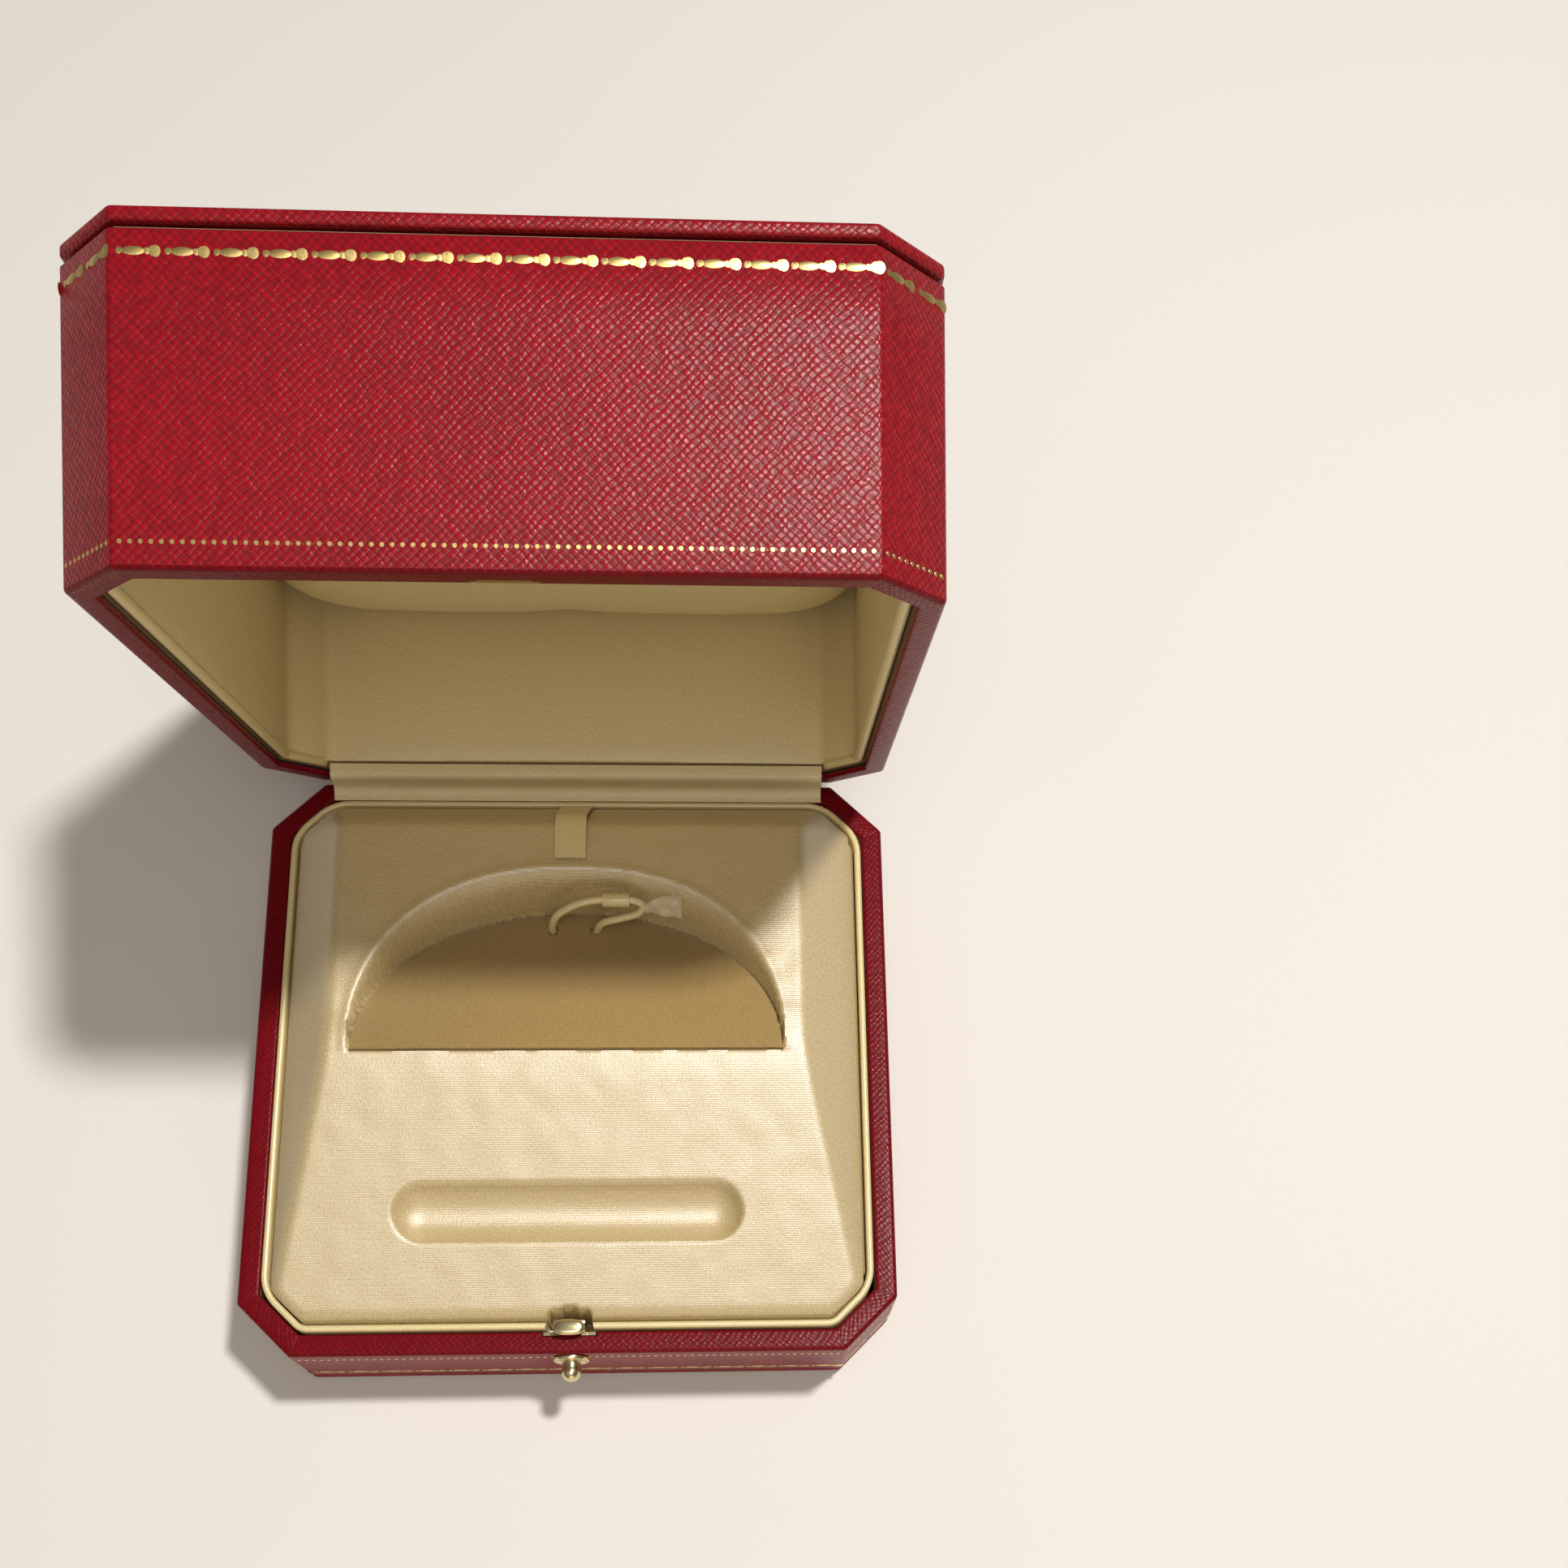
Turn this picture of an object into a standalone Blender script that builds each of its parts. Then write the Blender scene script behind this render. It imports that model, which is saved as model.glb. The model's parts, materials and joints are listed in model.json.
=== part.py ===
"""Octagonal hinged presentation box for a bangle.

A leather-wrapped tub with a lift-out satin display pad, and a deep satin-lined lid on two spring hinges,
held shut by a brass push-button latch. Metres, +Z up, X to the right, Y to the back. The origin is the
middle of the underside. The lid stands open, at rest against its stop.
"""

import math

import bmesh
import bpy
from mathutils import Matrix, Vector

MM = 0.001

# Whole box
WIDTH = 125.0 * MM
DEPTH = 120.0 * MM
CORNER_CUT = 10.25 * MM  # each way, so the corners are cut at 45 degrees
BASE_RIM = 23.5 * MM  # height of the tub's rim
LID_WALL = 46.0 * MM  # lid's rim to the groove under its top panel
LID_OPEN = math.radians(73.4)
GAP = 0.3 * MM  # between pieces that touch

# Walls, counted inwards from the outside
WRAP = 0.9 * MM  # leather skin
CORE = 3.0 * MM  # board walls under it
LINER = 1.3 * MM  # satin-covered card inside them
CORE_INSET = WRAP + GAP
LINER_INSET = CORE_INSET + CORE + GAP
INSERT_INSET = LINER_INSET + LINER + GAP

# Panels glued on below the tub and on top of the lid
PANEL = 2.2 * MM
GROOVE = 0.9 * MM
UNDERSIDE = 0.6 * MM
UNDERSIDE_INSET = 3.0 * MM
FLOOR = 2.4 * MM
LID_TOP = 3.0 * MM
COLLAR_PROUD = 1.1 * MM  # collar above the tub's rim
LID_RIM_TURN = 1.2 * MM  # leather turned in over the lid's rim
LINING_SET_BACK = 1.4 * MM  # lid lining behind the lid's rim

# Display pad
INSERT_CARD = 1.5 * MM
PAD_EDGE = BASE_RIM + 1.1 * MM
PAD_TOP = BASE_RIM + 16.5 * MM
RIDGE_Y = -5.0 * MM  # the front ramp ends here
FLANK_SLOPE = 1.36
RECESS_HALF = 41.0 * MM
RECESS_REACH = 37.4 * MM
FOOT_REACH = 32.5 * MM
RECESS_FLOOR = BASE_RIM + 15.9 * MM  # at the straight front edge
FLOOR_SLOPE = 0.30  # down towards the back
FLOOR_CARD = 0.8 * MM
STRAP_RADIUS = 0.7 * MM
STRAP_SPREAD = 4.0 * MM
STRAP_Y = 23.2 * MM
STRAP_FOOT = BASE_RIM + 5.2 * MM
STRAP_SLEEVE = (8.8 * MM, 26.2 * MM, BASE_RIM + 15.1 * MM)
STRAP_TIE = (15.0 * MM, 25.9 * MM, BASE_RIM + 13.9 * MM)
STRAP_ROUTE = [
    (-STRAP_SPREAD, STRAP_Y, STRAP_FOOT),
    (-3.9 * MM, 23.4 * MM, BASE_RIM + 9.9 * MM),
    (-2.4 * MM, 24.4 * MM, BASE_RIM + 12.7 * MM),
    (1.4 * MM, 25.6 * MM, BASE_RIM + 14.6 * MM),
    (5.2 * MM, 26.2 * MM, BASE_RIM + 15.1 * MM),
    (8.8 * MM, 26.2 * MM, BASE_RIM + 15.1 * MM),
    (12.2 * MM, 26.2 * MM, BASE_RIM + 14.9 * MM),
    (14.0 * MM, 25.6 * MM, BASE_RIM + 13.8 * MM),
    (12.8 * MM, 24.6 * MM, BASE_RIM + 12.4 * MM),
    (9.4 * MM, 24.0 * MM, BASE_RIM + 11.5 * MM),
    (5.8 * MM, 23.6 * MM, BASE_RIM + 10.1 * MM),
    (STRAP_SPREAD, STRAP_Y, STRAP_FOOT),
]
TROUGH_Y = -34.9 * MM
TROUGH_LENGTH = 66.2 * MM
TROUGH_RADIUS = 5.8 * MM
TROUGH_DEPTH = 4.0 * MM

# Latch
PIN_DROP = 4.5 * MM  # pin's axis below the rim
PIN_RADIUS = 1.85 * MM
PIN_STANDS_OUT = 4.7 * MM
ROD_RADIUS = 1.0 * MM
HOOK_HALF = 3.1 * MM
POCKET_HALF = 5.2 * MM
FLANGE_RADIUS = 3.45 * MM

# Hinges
HINGE_Y = DEPTH / 2 + 0.2 * MM
HINGE_Z = BASE_RIM + GAP / 2
HINGE_X = 30.0 * MM
KNUCKLE = 3.4 * MM
KNUCKLE_RADIUS = 1.1 * MM
HINGE_PIN_RADIUS = 0.45 * MM
LEAF = 0.6 * MM
STRIP_HALF = 50.0 * MM  # satin gusset and leather spine

LID_BOTTOM = BASE_RIM + GAP
PANEL_Z = UNDERSIDE + GAP
BASE_CORE_Z = PANEL_Z + PANEL + GAP
FLOOR_TOP = BASE_CORE_Z + FLOOR
CARD_Z = FLOOR_TOP + GAP
PAD_Z = CARD_Z + INSERT_CARD + GAP
PIN_Z = BASE_RIM - PIN_DROP
FRONT = -DEPTH / 2
BACK = DEPTH / 2

LEATHER = ("leather", "#A02333", 0.45, 0.0)
BOARD = ("board", "#8A7355", 0.85, 0.0)
SATIN = ("satin", "#D9CBA0", 0.40, 0.0)
SUEDE = ("suede", "#A88B55", 0.90, 0.0)
BRASS = ("brass", "#C9B878", 0.25, 1.0)
STEEL = ("steel", "#A9ABAE", 0.30, 1.0)
PAPER = ("underside_paper", "#2B2022", 0.90, 0.0)
CLEAR = ("clear_plastic", "#E8ECEA", 0.10, 0.0)


def material(finish):
    name, colour, roughness, metallic = finish
    found = bpy.data.materials.get(name)
    if found:
        return found
    made = bpy.data.materials.new(name)
    made.use_nodes = True
    shader = made.node_tree.nodes["Principled BSDF"]
    channels = [int(colour[i : i + 2], 16) / 255 for i in (1, 3, 5)]
    linear = [c / 12.92 if c <= 0.04045 else ((c + 0.055) / 1.055) ** 2.4 for c in channels]
    shader.inputs["Base Color"].default_value = (*linear, 1.0)
    shader.inputs["Roughness"].default_value = roughness
    shader.inputs["Metallic"].default_value = metallic
    return made


def add(name, mesh_builder, finish, pivot=None, at=(0.0, 0.0, 0.0), smooth=False):
    """A named object. Its mesh is built in world coordinates with the lid shut; on a pivot it turns."""
    bm = mesh_builder
    bmesh.ops.recalc_face_normals(bm, faces=bm.faces[:])
    origin = Vector(at) if pivot is None else pivot.location.copy()
    bmesh.ops.translate(bm, verts=bm.verts[:], vec=-origin)
    mesh = bpy.data.meshes.new(name)
    bm.to_mesh(mesh)
    bm.free()
    mesh.materials.append(material(finish))
    if smooth:
        mesh.shade_smooth()
        mesh.set_sharp_from_angle(angle=math.radians(35))
    obj = bpy.data.objects.new(name, mesh)
    bpy.context.scene.collection.objects.link(obj)
    if pivot is None:
        obj.location = origin
    else:
        obj.parent = pivot
    return obj


def cut(target, bm, label, pivot=None):
    """Takes the shape away from the target, through a hidden cutter."""
    cutter = add(f"{label}_cutter", bm, STEEL, pivot=pivot)
    cutter.hide_render = True
    cutter.display_type = "WIRE"
    modifier = target.modifiers.new(label, "BOOLEAN")
    modifier.operation = "DIFFERENCE"
    modifier.solver = "EXACT"
    modifier.object = cutter


def octagon(inset, corner_cut=None):
    """The box's outline, drawn in by an inset, with its cut corners staying at 45 degrees."""
    x = WIDTH / 2 - inset
    y = DEPTH / 2 - inset
    c = corner_cut or CORNER_CUT - inset * (2 - math.sqrt(2))
    right = [(x, -y + c), (x, y - c), (x - c, y)]
    left = [(-x + c, y), (-x, y - c), (-x, -y + c), (-x + c, -y)]
    return [*right, *left, (x - c, -y)]


def rounded(outline, radii, steps=4):
    """The outline with each corner turned into an arc of the given radius."""
    points = []
    for i, corner in enumerate(outline):
        here = Vector(corner)
        before = (Vector(outline[i - 1]) - here).normalized()
        after = (Vector(outline[(i + 1) % len(outline)]) - here).normalized()
        half = before.angle(after) / 2
        reach = radii[i] / math.tan(half)
        centre = here + (before + after).normalized() * (radii[i] / math.sin(half))
        start = here + before * reach - centre
        sweep = (here + after * reach - centre).angle_signed(start)
        for k in range(steps + 1):
            points.append(centre + Matrix.Rotation(sweep * k / steps, 2) @ start)
    return [(p.x, p.y) for p in points]


def stack(loops, ends="caps"):
    """Joins closed loops of equal length in turn. The ends are capped, or joined to each other as a ring."""
    bm = bmesh.new()
    rows = [[bm.verts.new(point) for point in points] for points in loops]
    pairs = list(zip(rows, rows[1:])) + ([(rows[-1], rows[0])] if ends == "ring" else [])
    for first, second in pairs:
        for i in range(len(first)):
            bm.faces.new((first[i - 1], first[i], second[i], second[i - 1]))
    if ends == "caps":
        bm.faces.new(rows[0])
        bm.faces.new(rows[-1])
    return bm


def slab(outline, low, high):
    return stack([[(x, y, z) for x, y in outline] for z in (low, high)])


def ring(profile, outline=octagon):
    """A profile of (inset, height) points carried round the box."""
    return stack([[(x, y, z) for x, y in outline(inset)] for inset, z in profile], ends="ring")


def block(low, high):
    bm = bmesh.new()
    bmesh.ops.create_cube(bm, size=1.0)
    size = [b - a for a, b in zip(low, high)]
    centre = [(a + b) / 2 for a, b in zip(low, high)]
    place = Matrix.Translation(centre) @ Matrix.Diagonal((*size, 1.0))
    bmesh.ops.transform(bm, matrix=place, verts=bm.verts[:])
    return bm


def turned(profile, centre, axis="Y", segments=16):
    """A (radius, distance along the axis) profile turned round an axis through the centre."""
    bm = bmesh.new()
    verts = [bm.verts.new((radius, 0.0, along)) for radius, along in profile]
    closed = profile[0][0] > 0 or profile[-1][0] > 0
    edges = [bm.edges.new(pair) for pair in zip(verts, verts[1:])]
    if closed:
        edges.append(bm.edges.new((verts[-1], verts[0])))
    bmesh.ops.spin(
        bm, geom=edges, cent=(0, 0, 0), axis=(0, 0, 1), angle=2 * math.pi, steps=segments, use_merge=True
    )
    bmesh.ops.remove_doubles(bm, verts=bm.verts[:], dist=0.001 * MM)
    turn = Matrix.Rotation(-math.pi / 2, 4, "X") if axis == "Y" else Matrix.Rotation(math.pi / 2, 4, "Y")
    if axis == "Z":
        turn = Matrix.Identity(4)
    bmesh.ops.transform(bm, matrix=Matrix.Translation(centre) @ turn, verts=bm.verts[:])
    return bm


def strip(path, half_width, thickness, centre_x=0.0):
    """A ribbon of even thickness along a path of (y, z) points, spread both ways along X."""
    sides = []
    for side in (-1, 1):
        row = []
        for i, point in enumerate(path):
            here = Vector(point)
            ahead = (Vector(path[min(i + 1, len(path) - 1)]) - here).normalized()
            behind = (here - Vector(path[max(i - 1, 0)])).normalized()
            along = (ahead + behind).normalized()
            stretch = max(0.5, along.dot(ahead if ahead.length else behind))
            normal = Vector((-along.y, along.x)) * (side * thickness / 2 / stretch)
            row.append(here + normal)
        sides.append(row)
    section = sides[0] + sides[1][::-1]
    return stack([[(x, p.x, p.y) for p in section] for x in (centre_x - half_width, centre_x + half_width)])


def half_moon(reach, power, height, steps=28, grow=0.0):
    """A straight front edge and a full round back. height(y) gives each point's level."""
    points = []
    for k in range(steps + 1):
        turn = math.pi * k / steps
        c, s = math.cos(turn), math.sin(turn)
        x = math.copysign(abs(c) ** (2 / power), c) * (RECESS_HALF + grow)
        y = RIDGE_Y - grow + (abs(s) ** (2 / power)) * (reach + 2 * grow)
        points.append((x, y, height(y)))
    return points


def floor_level(y):
    return RECESS_FLOOR - FLOOR_SLOPE * (y - RIDGE_Y)


def tube(name, points, radius, finish):
    """A round cord through the points, as a curve with filled ends."""
    curve = bpy.data.curves.new(name, "CURVE")
    curve.dimensions = "3D"
    curve.bevel_depth = radius
    curve.bevel_resolution = 2
    curve.use_fill_caps = True
    spline = curve.splines.new("POLY")
    spline.points.add(len(points) - 1)
    for target, point in zip(spline.points, points):
        target.co = (*point, 1.0)
    curve.materials.append(material(finish))
    obj = bpy.data.objects.new(name, curve)
    bpy.context.scene.collection.objects.link(obj)
    return obj


def smooth_route(points, per_span):
    """Catmull-Rom curve through the points."""
    route = []
    padded = [points[0]] + list(points) + [points[-1]]
    for a, b, c, d in zip(padded, padded[1:], padded[2:], padded[3:]):
        a, b, c, d = (Vector(p) for p in (a, b, c, d))
        for k in range(per_span):
            t = k / per_span
            bend = (2 * a - 5 * b + 4 * c - d) * t**2 + (3 * b - a - 3 * c + d) * t**3
            route.append(0.5 * (2 * b + (c - a) * t + bend))
    return route + [Vector(points[-1])]


def coil(axis_start, axis_end, radius, wire, turns, steps_per_turn=10):
    """Points of a helix between two points on a line parallel to X or Y."""
    start, end = Vector(axis_start), Vector(axis_end)
    along = (end - start).normalized()
    across = Vector((0, 0, 1))
    side = along.cross(across)
    count = int(turns * steps_per_turn)
    first, last = start + along * wire, end - along * wire
    return [
        first.lerp(last, k / count)
        + across * (radius * math.cos(2 * math.pi * k / steps_per_turn))
        + side * (radius * math.sin(2 * math.pi * k / steps_per_turn))
        for k in range(count + 1)
    ]


def collar_outline(inset):
    """Soft corners: small at the front, wide at the back."""
    inner = inset - LINER_INSET
    radii = [4.0 * MM - inner, 9.0 * MM - inner, 9.0 * MM - inner, 9.0 * MM - inner]
    radii += [9.0 * MM - inner, 4.0 * MM - inner, 4.0 * MM - inner, 4.0 * MM - inner]
    return rounded(octagon(inset), radii)


def pin_hole(radius, near, far):
    return turned([(0, 0), (radius, 0), (radius, far - near), (0, far - near)], (0, near, PIN_Z), segments=20)


def build_tub():
    rim_inset = CORE_INSET + CORE
    add("base_underside", slab(octagon(UNDERSIDE_INSET), 0.0, UNDERSIDE), PAPER)
    soft = 0.5 * MM
    panel = stack(
        [
            [(x, y, z) for x, y in octagon(inset)]
            for inset, z in (
                (soft, PANEL_Z),
                (0.0, PANEL_Z + soft),
                (0.0, PANEL_Z + PANEL - soft),
                (soft, PANEL_Z + PANEL),
            )
        ]
    )
    add("base_foot_panel", panel, LEATHER)

    core = slab(octagon(CORE_INSET), BASE_CORE_Z, BASE_RIM - WRAP - GAP)
    tub = add("base_core", core, BOARD)
    cut(tub, slab(octagon(rim_inset), FLOOR_TOP, BASE_RIM + 1 * MM), "tub_hollow")
    cut(tub, pin_hole(2.2 * MM, FRONT - 1 * MM, FRONT + 6 * MM), "core_pin_hole")
    pocket_low = (-POCKET_HALF, FRONT + 3.1 * MM, BASE_RIM - 9.5 * MM)
    pocket_high = (POCKET_HALF, FRONT + 6 * MM, BASE_RIM + 1 * MM)
    cut(tub, block(pocket_low, pocket_high), "core_latch_pocket")

    low = PANEL_Z + PANEL + GROOVE
    wrap = ring(
        [
            (WRAP, low),
            (0.0, low),
            (0.0, BASE_RIM - 0.8 * MM),
            (0.25 * MM, BASE_RIM - 0.25 * MM),
            (0.8 * MM, BASE_RIM),
            (rim_inset - 0.3 * MM, BASE_RIM),
            (rim_inset, BASE_RIM - 0.3 * MM),
            (rim_inset, BASE_RIM - WRAP),
            (WRAP, BASE_RIM - WRAP),
        ]
    )
    skin = add("base_wrap", wrap, LEATHER)
    cut(skin, pin_hole(2.15 * MM, FRONT - 1 * MM, FRONT + 2 * MM), "wrap_pin_hole")
    cut(skin, block((*pocket_low[:2], BASE_RIM - 2 * MM), pocket_high), "wrap_latch_pocket")
    for side in (-1, 1):
        cut(tub, hinge_pocket(side, -1), f"core_hinge_pocket{side:+d}")
        cut(skin, hinge_pocket(side, -1), f"wrap_hinge_pocket{side:+d}")

    inner = LINER_INSET + LINER
    top = BASE_RIM + COLLAR_PROUD
    collar = add(
        "base_collar",
        ring(
            [
                (LINER_INSET, CARD_Z),
                (LINER_INSET, top - 0.5 * MM),
                (LINER_INSET + 0.35 * MM, top),
                (inner - 0.35 * MM, top),
                (inner, top - 0.5 * MM),
                (inner, CARD_Z),
            ],
            collar_outline,
        ),
        SATIN,
        smooth=True,
    )
    cut(
        collar,
        block((-4.9 * MM, FRONT + 3 * MM, BASE_RIM - 9.5 * MM), (4.9 * MM, FRONT + 7 * MM, top + 1 * MM)),
        "collar_notch",
    )


def hinge_pocket(side, half):
    """Room for one hinge in the back rim: half is -1 for the tub's and 1 for the lid's."""
    reach = 2.5 * KNUCKLE + 1.1 * MM
    depth = 1.9 * MM
    low = BASE_RIM - depth if half < 0 else LID_BOTTOM - 2 * MM
    high = BASE_RIM + 2 * MM if half < 0 else LID_BOTTOM + depth
    x = side * HINGE_X
    return block((x - reach, BACK - 4.6 * MM, low), (x + reach, BACK + 2 * MM, high))


def build_insert():
    outline = collar_outline(INSERT_INSET)
    add("insert_card", slab(outline, CARD_Z, CARD_Z + INSERT_CARD), BOARD)

    bm = slab(outline, PAD_Z, PAD_TOP)
    edge_x = WIDTH / 2 - INSERT_INSET
    edge_y = DEPTH / 2 - INSERT_INSET
    front_y = -edge_y
    ramp = (PAD_TOP - PAD_EDGE - 0.4 * MM) / (RIDGE_Y - front_y)
    corner = edge_x + edge_y - (CORNER_CUT - INSERT_INSET * (2 - math.sqrt(2)))
    planes = [
        ((0, RIDGE_Y, PAD_TOP), (0, -ramp, 1)),
        ((0, front_y, PAD_EDGE - 0.6 * MM), (0, -1, 1)),
        ((edge_x, 0, PAD_EDGE), (FLANK_SLOPE, 0, 1)),
        ((-edge_x, 0, PAD_EDGE), (-FLANK_SLOPE, 0, 1)),
        ((0, edge_y, PAD_EDGE), (0, FLANK_SLOPE, 1)),
        ((corner / 2, corner / 2, PAD_EDGE), (FLANK_SLOPE * 0.707, FLANK_SLOPE * 0.707, 1)),
        ((-corner / 2, corner / 2, PAD_EDGE), (-FLANK_SLOPE * 0.707, FLANK_SLOPE * 0.707, 1)),
    ]
    for point, normal in planes:
        geom = bm.verts[:] + bm.edges[:] + bm.faces[:]
        bmesh.ops.bisect_plane(
            bm, geom=geom, dist=0.0001 * MM, plane_co=point, plane_no=normal, clear_outer=True
        )
        bmesh.ops.holes_fill(bm, edges=[e for e in bm.edges if e.is_boundary], sides=0)
    pad = add("display_pad", bm, SATIN)

    below = FLOOR_CARD + GAP
    foot = half_moon(FOOT_REACH, 2.1, lambda y: floor_level(y) - below)
    brow = half_moon(RECESS_REACH, 2.3, lambda y: PAD_TOP)
    sky = half_moon(RECESS_REACH, 2.3, lambda y: PAD_TOP + 6 * MM)
    cut(pad, stack([foot, brow, sky]), "recess")

    level = PAD_TOP + ramp * (TROUGH_Y - RIDGE_Y) + TROUGH_RADIUS - TROUGH_DEPTH
    cut(pad, trough((0, TROUGH_Y, level)), "trough")
    cut(pad, block((-3.8 * MM, -58 * MM, 13 * MM), (3.8 * MM, -51.9 * MM, 43 * MM)), "hook_notch")
    cut(pad, block((-3.6 * MM, 52.7 * MM, 6 * MM), (3.6 * MM, 56 * MM, 30 * MM)), "tab_slot")

    inner = 0.35 * MM
    top = half_moon(FOOT_REACH, 2.1, floor_level, grow=-inner)
    under = half_moon(FOOT_REACH, 2.1, lambda y: floor_level(y) - FLOOR_CARD, grow=-inner)
    panel = add("recess_floor", stack([under, top]), SUEDE)
    for label, x in (("left", -STRAP_SPREAD), ("right", STRAP_SPREAD)):
        reach = 1.6 * MM
        low = (x - reach, STRAP_Y - reach, STRAP_FOOT - 0.6 * MM)
        high = (x + reach, STRAP_Y + reach, STRAP_FOOT + 5 * MM)
        cut(pad, block(low, high), f"pad_slit_{label}")
        cut(panel, block(low, high), f"floor_slit_{label}")

    lift = 0.6 * MM
    rise = PAD_EDGE + lift * math.hypot(1, FLANK_SLOPE)
    tab_y = 53.4 * MM
    crest_y = edge_y - (PAD_TOP + lift - rise) / FLANK_SLOPE
    path = [
        (tab_y, CARD_Z + INSERT_CARD + 0.6 * MM),
        (tab_y, rise + FLANK_SLOPE * (edge_y - tab_y)),
        (crest_y, PAD_TOP + lift),
        (33.9 * MM, PAD_TOP + lift),
    ]
    add("pull_tab", strip(path, 2.9 * MM, 0.5 * MM), SATIN)

    tube("bangle_strap", smooth_route(STRAP_ROUTE, 4), STRAP_RADIUS, SATIN)
    sleeve_half = 2.6 * MM
    add(
        "strap_sleeve",
        turned(
            [
                (1.05 * MM, -sleeve_half),
                (1.45 * MM, -sleeve_half),
                (1.45 * MM, sleeve_half),
                (1.05 * MM, sleeve_half),
            ],
            STRAP_SLEEVE,
            axis="X",
            segments=14,
        ),
        SATIN,
    )
    x, y, z = STRAP_TIE
    add(
        "strap_tie",
        block((x, y - 3.2 * MM, z - 0.3 * MM), (x + 4.6 * MM, y + 0.6 * MM, z + 0.3 * MM)),
        CLEAR,
    )


def trough(centre):
    """A bar with round ends along X."""
    profile = []
    half = TROUGH_LENGTH / 2 - TROUGH_RADIUS
    for end in (-1, 1):
        for k in range(7):
            turn = math.radians(15 * k if end < 0 else 90 - 15 * k)
            along = end * (half + TROUGH_RADIUS * math.cos(turn))
            profile.append((TROUGH_RADIUS * math.sin(turn), along))
    return turned(profile, centre, axis="X", segments=24)


def build_latch():
    plate_low = (-4.9 * MM, FRONT + 3.4 * MM, BASE_RIM - 9.0 * MM)
    plate_high = (4.9 * MM, FRONT + 4.0 * MM, BASE_RIM + 0.05 * MM)
    bracket = add("latch_bracket", block(plate_low, plate_high), BRASS)
    cut(bracket, pin_hole(1.35 * MM, FRONT + 2 * MM, FRONT + 6 * MM), "bracket_hole")

    flange_y = FRONT - GAP
    add(
        "button_flange",
        turned(
            [
                (2.1 * MM, 0.0),
                (FLANGE_RADIUS, 0.0),
                (FLANGE_RADIUS, -0.35 * MM),
                (3.0 * MM, -0.6 * MM),
                (2.6 * MM, -0.9 * MM),
                (2.1 * MM, -0.9 * MM),
            ],
            (0, flange_y, PIN_Z),
            segments=28,
        ),
        BRASS,
        smooth=True,
    )
    tip = FRONT - PIN_STANDS_OUT
    dome = [
        (PIN_RADIUS * math.sin(math.radians(a)), tip + PIN_RADIUS * (1 - math.cos(math.radians(a))))
        for a in range(0, 91, 18)
    ]
    shank = [
        (PIN_RADIUS, FRONT + 0.8 * MM),
        (ROD_RADIUS, FRONT + 0.8 * MM),
        (ROD_RADIUS, FRONT + 5.0 * MM),
        (0.55 * MM, FRONT + 5.0 * MM),
        (0.55 * MM, FRONT + 6.0 * MM),
        (0.0, FRONT + 6.0 * MM),
    ]
    add("push_button", turned(dome + shank, (0, 0, PIN_Z), segments=20), BRASS, smooth=True)

    stem_front = FRONT + 5.3 * MM
    stem_back = FRONT + 6.1 * MM
    profile = [
        (stem_front, PIN_Z - 2.6 * MM),
        (stem_back, PIN_Z - 2.6 * MM),
        (stem_back, BASE_RIM + 2.2 * MM),
        (stem_back - 0.7 * MM, BASE_RIM + 3.0 * MM),
        (stem_back - 1.5 * MM, BASE_RIM + 2.9 * MM),
        (FRONT + 3.0 * MM, BASE_RIM + 1.8 * MM),
        (FRONT + 3.0 * MM, BASE_RIM + 1.2 * MM),
        (stem_front - 0.3 * MM, BASE_RIM + 1.7 * MM),
        (stem_front, BASE_RIM + 1.4 * MM),
    ]
    hook = add("latch_hook", stack([[(x, y, z) for y, z in profile] for x in (-HOOK_HALF, HOOK_HALF)]), BRASS)
    cut(hook, pin_hole(0.85 * MM, stem_front - 1 * MM, stem_back + 1 * MM), "hook_hole")

    near, far = (0, FRONT + 0.9 * MM, PIN_Z), (0, FRONT + 3.3 * MM, PIN_Z)
    spring = coil(near, far, 1.5 * MM, 0.16 * MM, turns=2.5, steps_per_turn=12)
    tube("button_spring", spring, 0.16 * MM, STEEL)

    for name, x in (("latch_screw_left", -3.5 * MM), ("latch_screw_right", 3.5 * MM)):
        add(name, screw((x, FRONT + 4.3 * MM, BASE_RIM - 7.4 * MM), 0.5 * MM), BRASS)
        # The screw's neck passes the bracket and seats in the board.
        for target, label in ((bracket, "bracket"), (bpy.data.objects["base_core"], "core")):
            hole = turned(
                [(0, 0), (0.85 * MM, 0), (0.85 * MM, 4 * MM), (0, 4 * MM)],
                (x, FRONT + 1.9 * MM, BASE_RIM - 7.4 * MM),
                segments=10,
            )
            cut(target, hole, f"{label}_{name}_hole")


def screw(head, neck):
    """A small round-head screw pointing to the front, with a flat-topped head."""
    shank = [(0, -2.0 * MM), (neck, -2.0 * MM), (neck, 0.0)]
    return turned([*shank, (1.1 * MM, 0.0), (0.8 * MM, 0.4 * MM), (0, 0.4 * MM)], head, segments=12)


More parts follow.
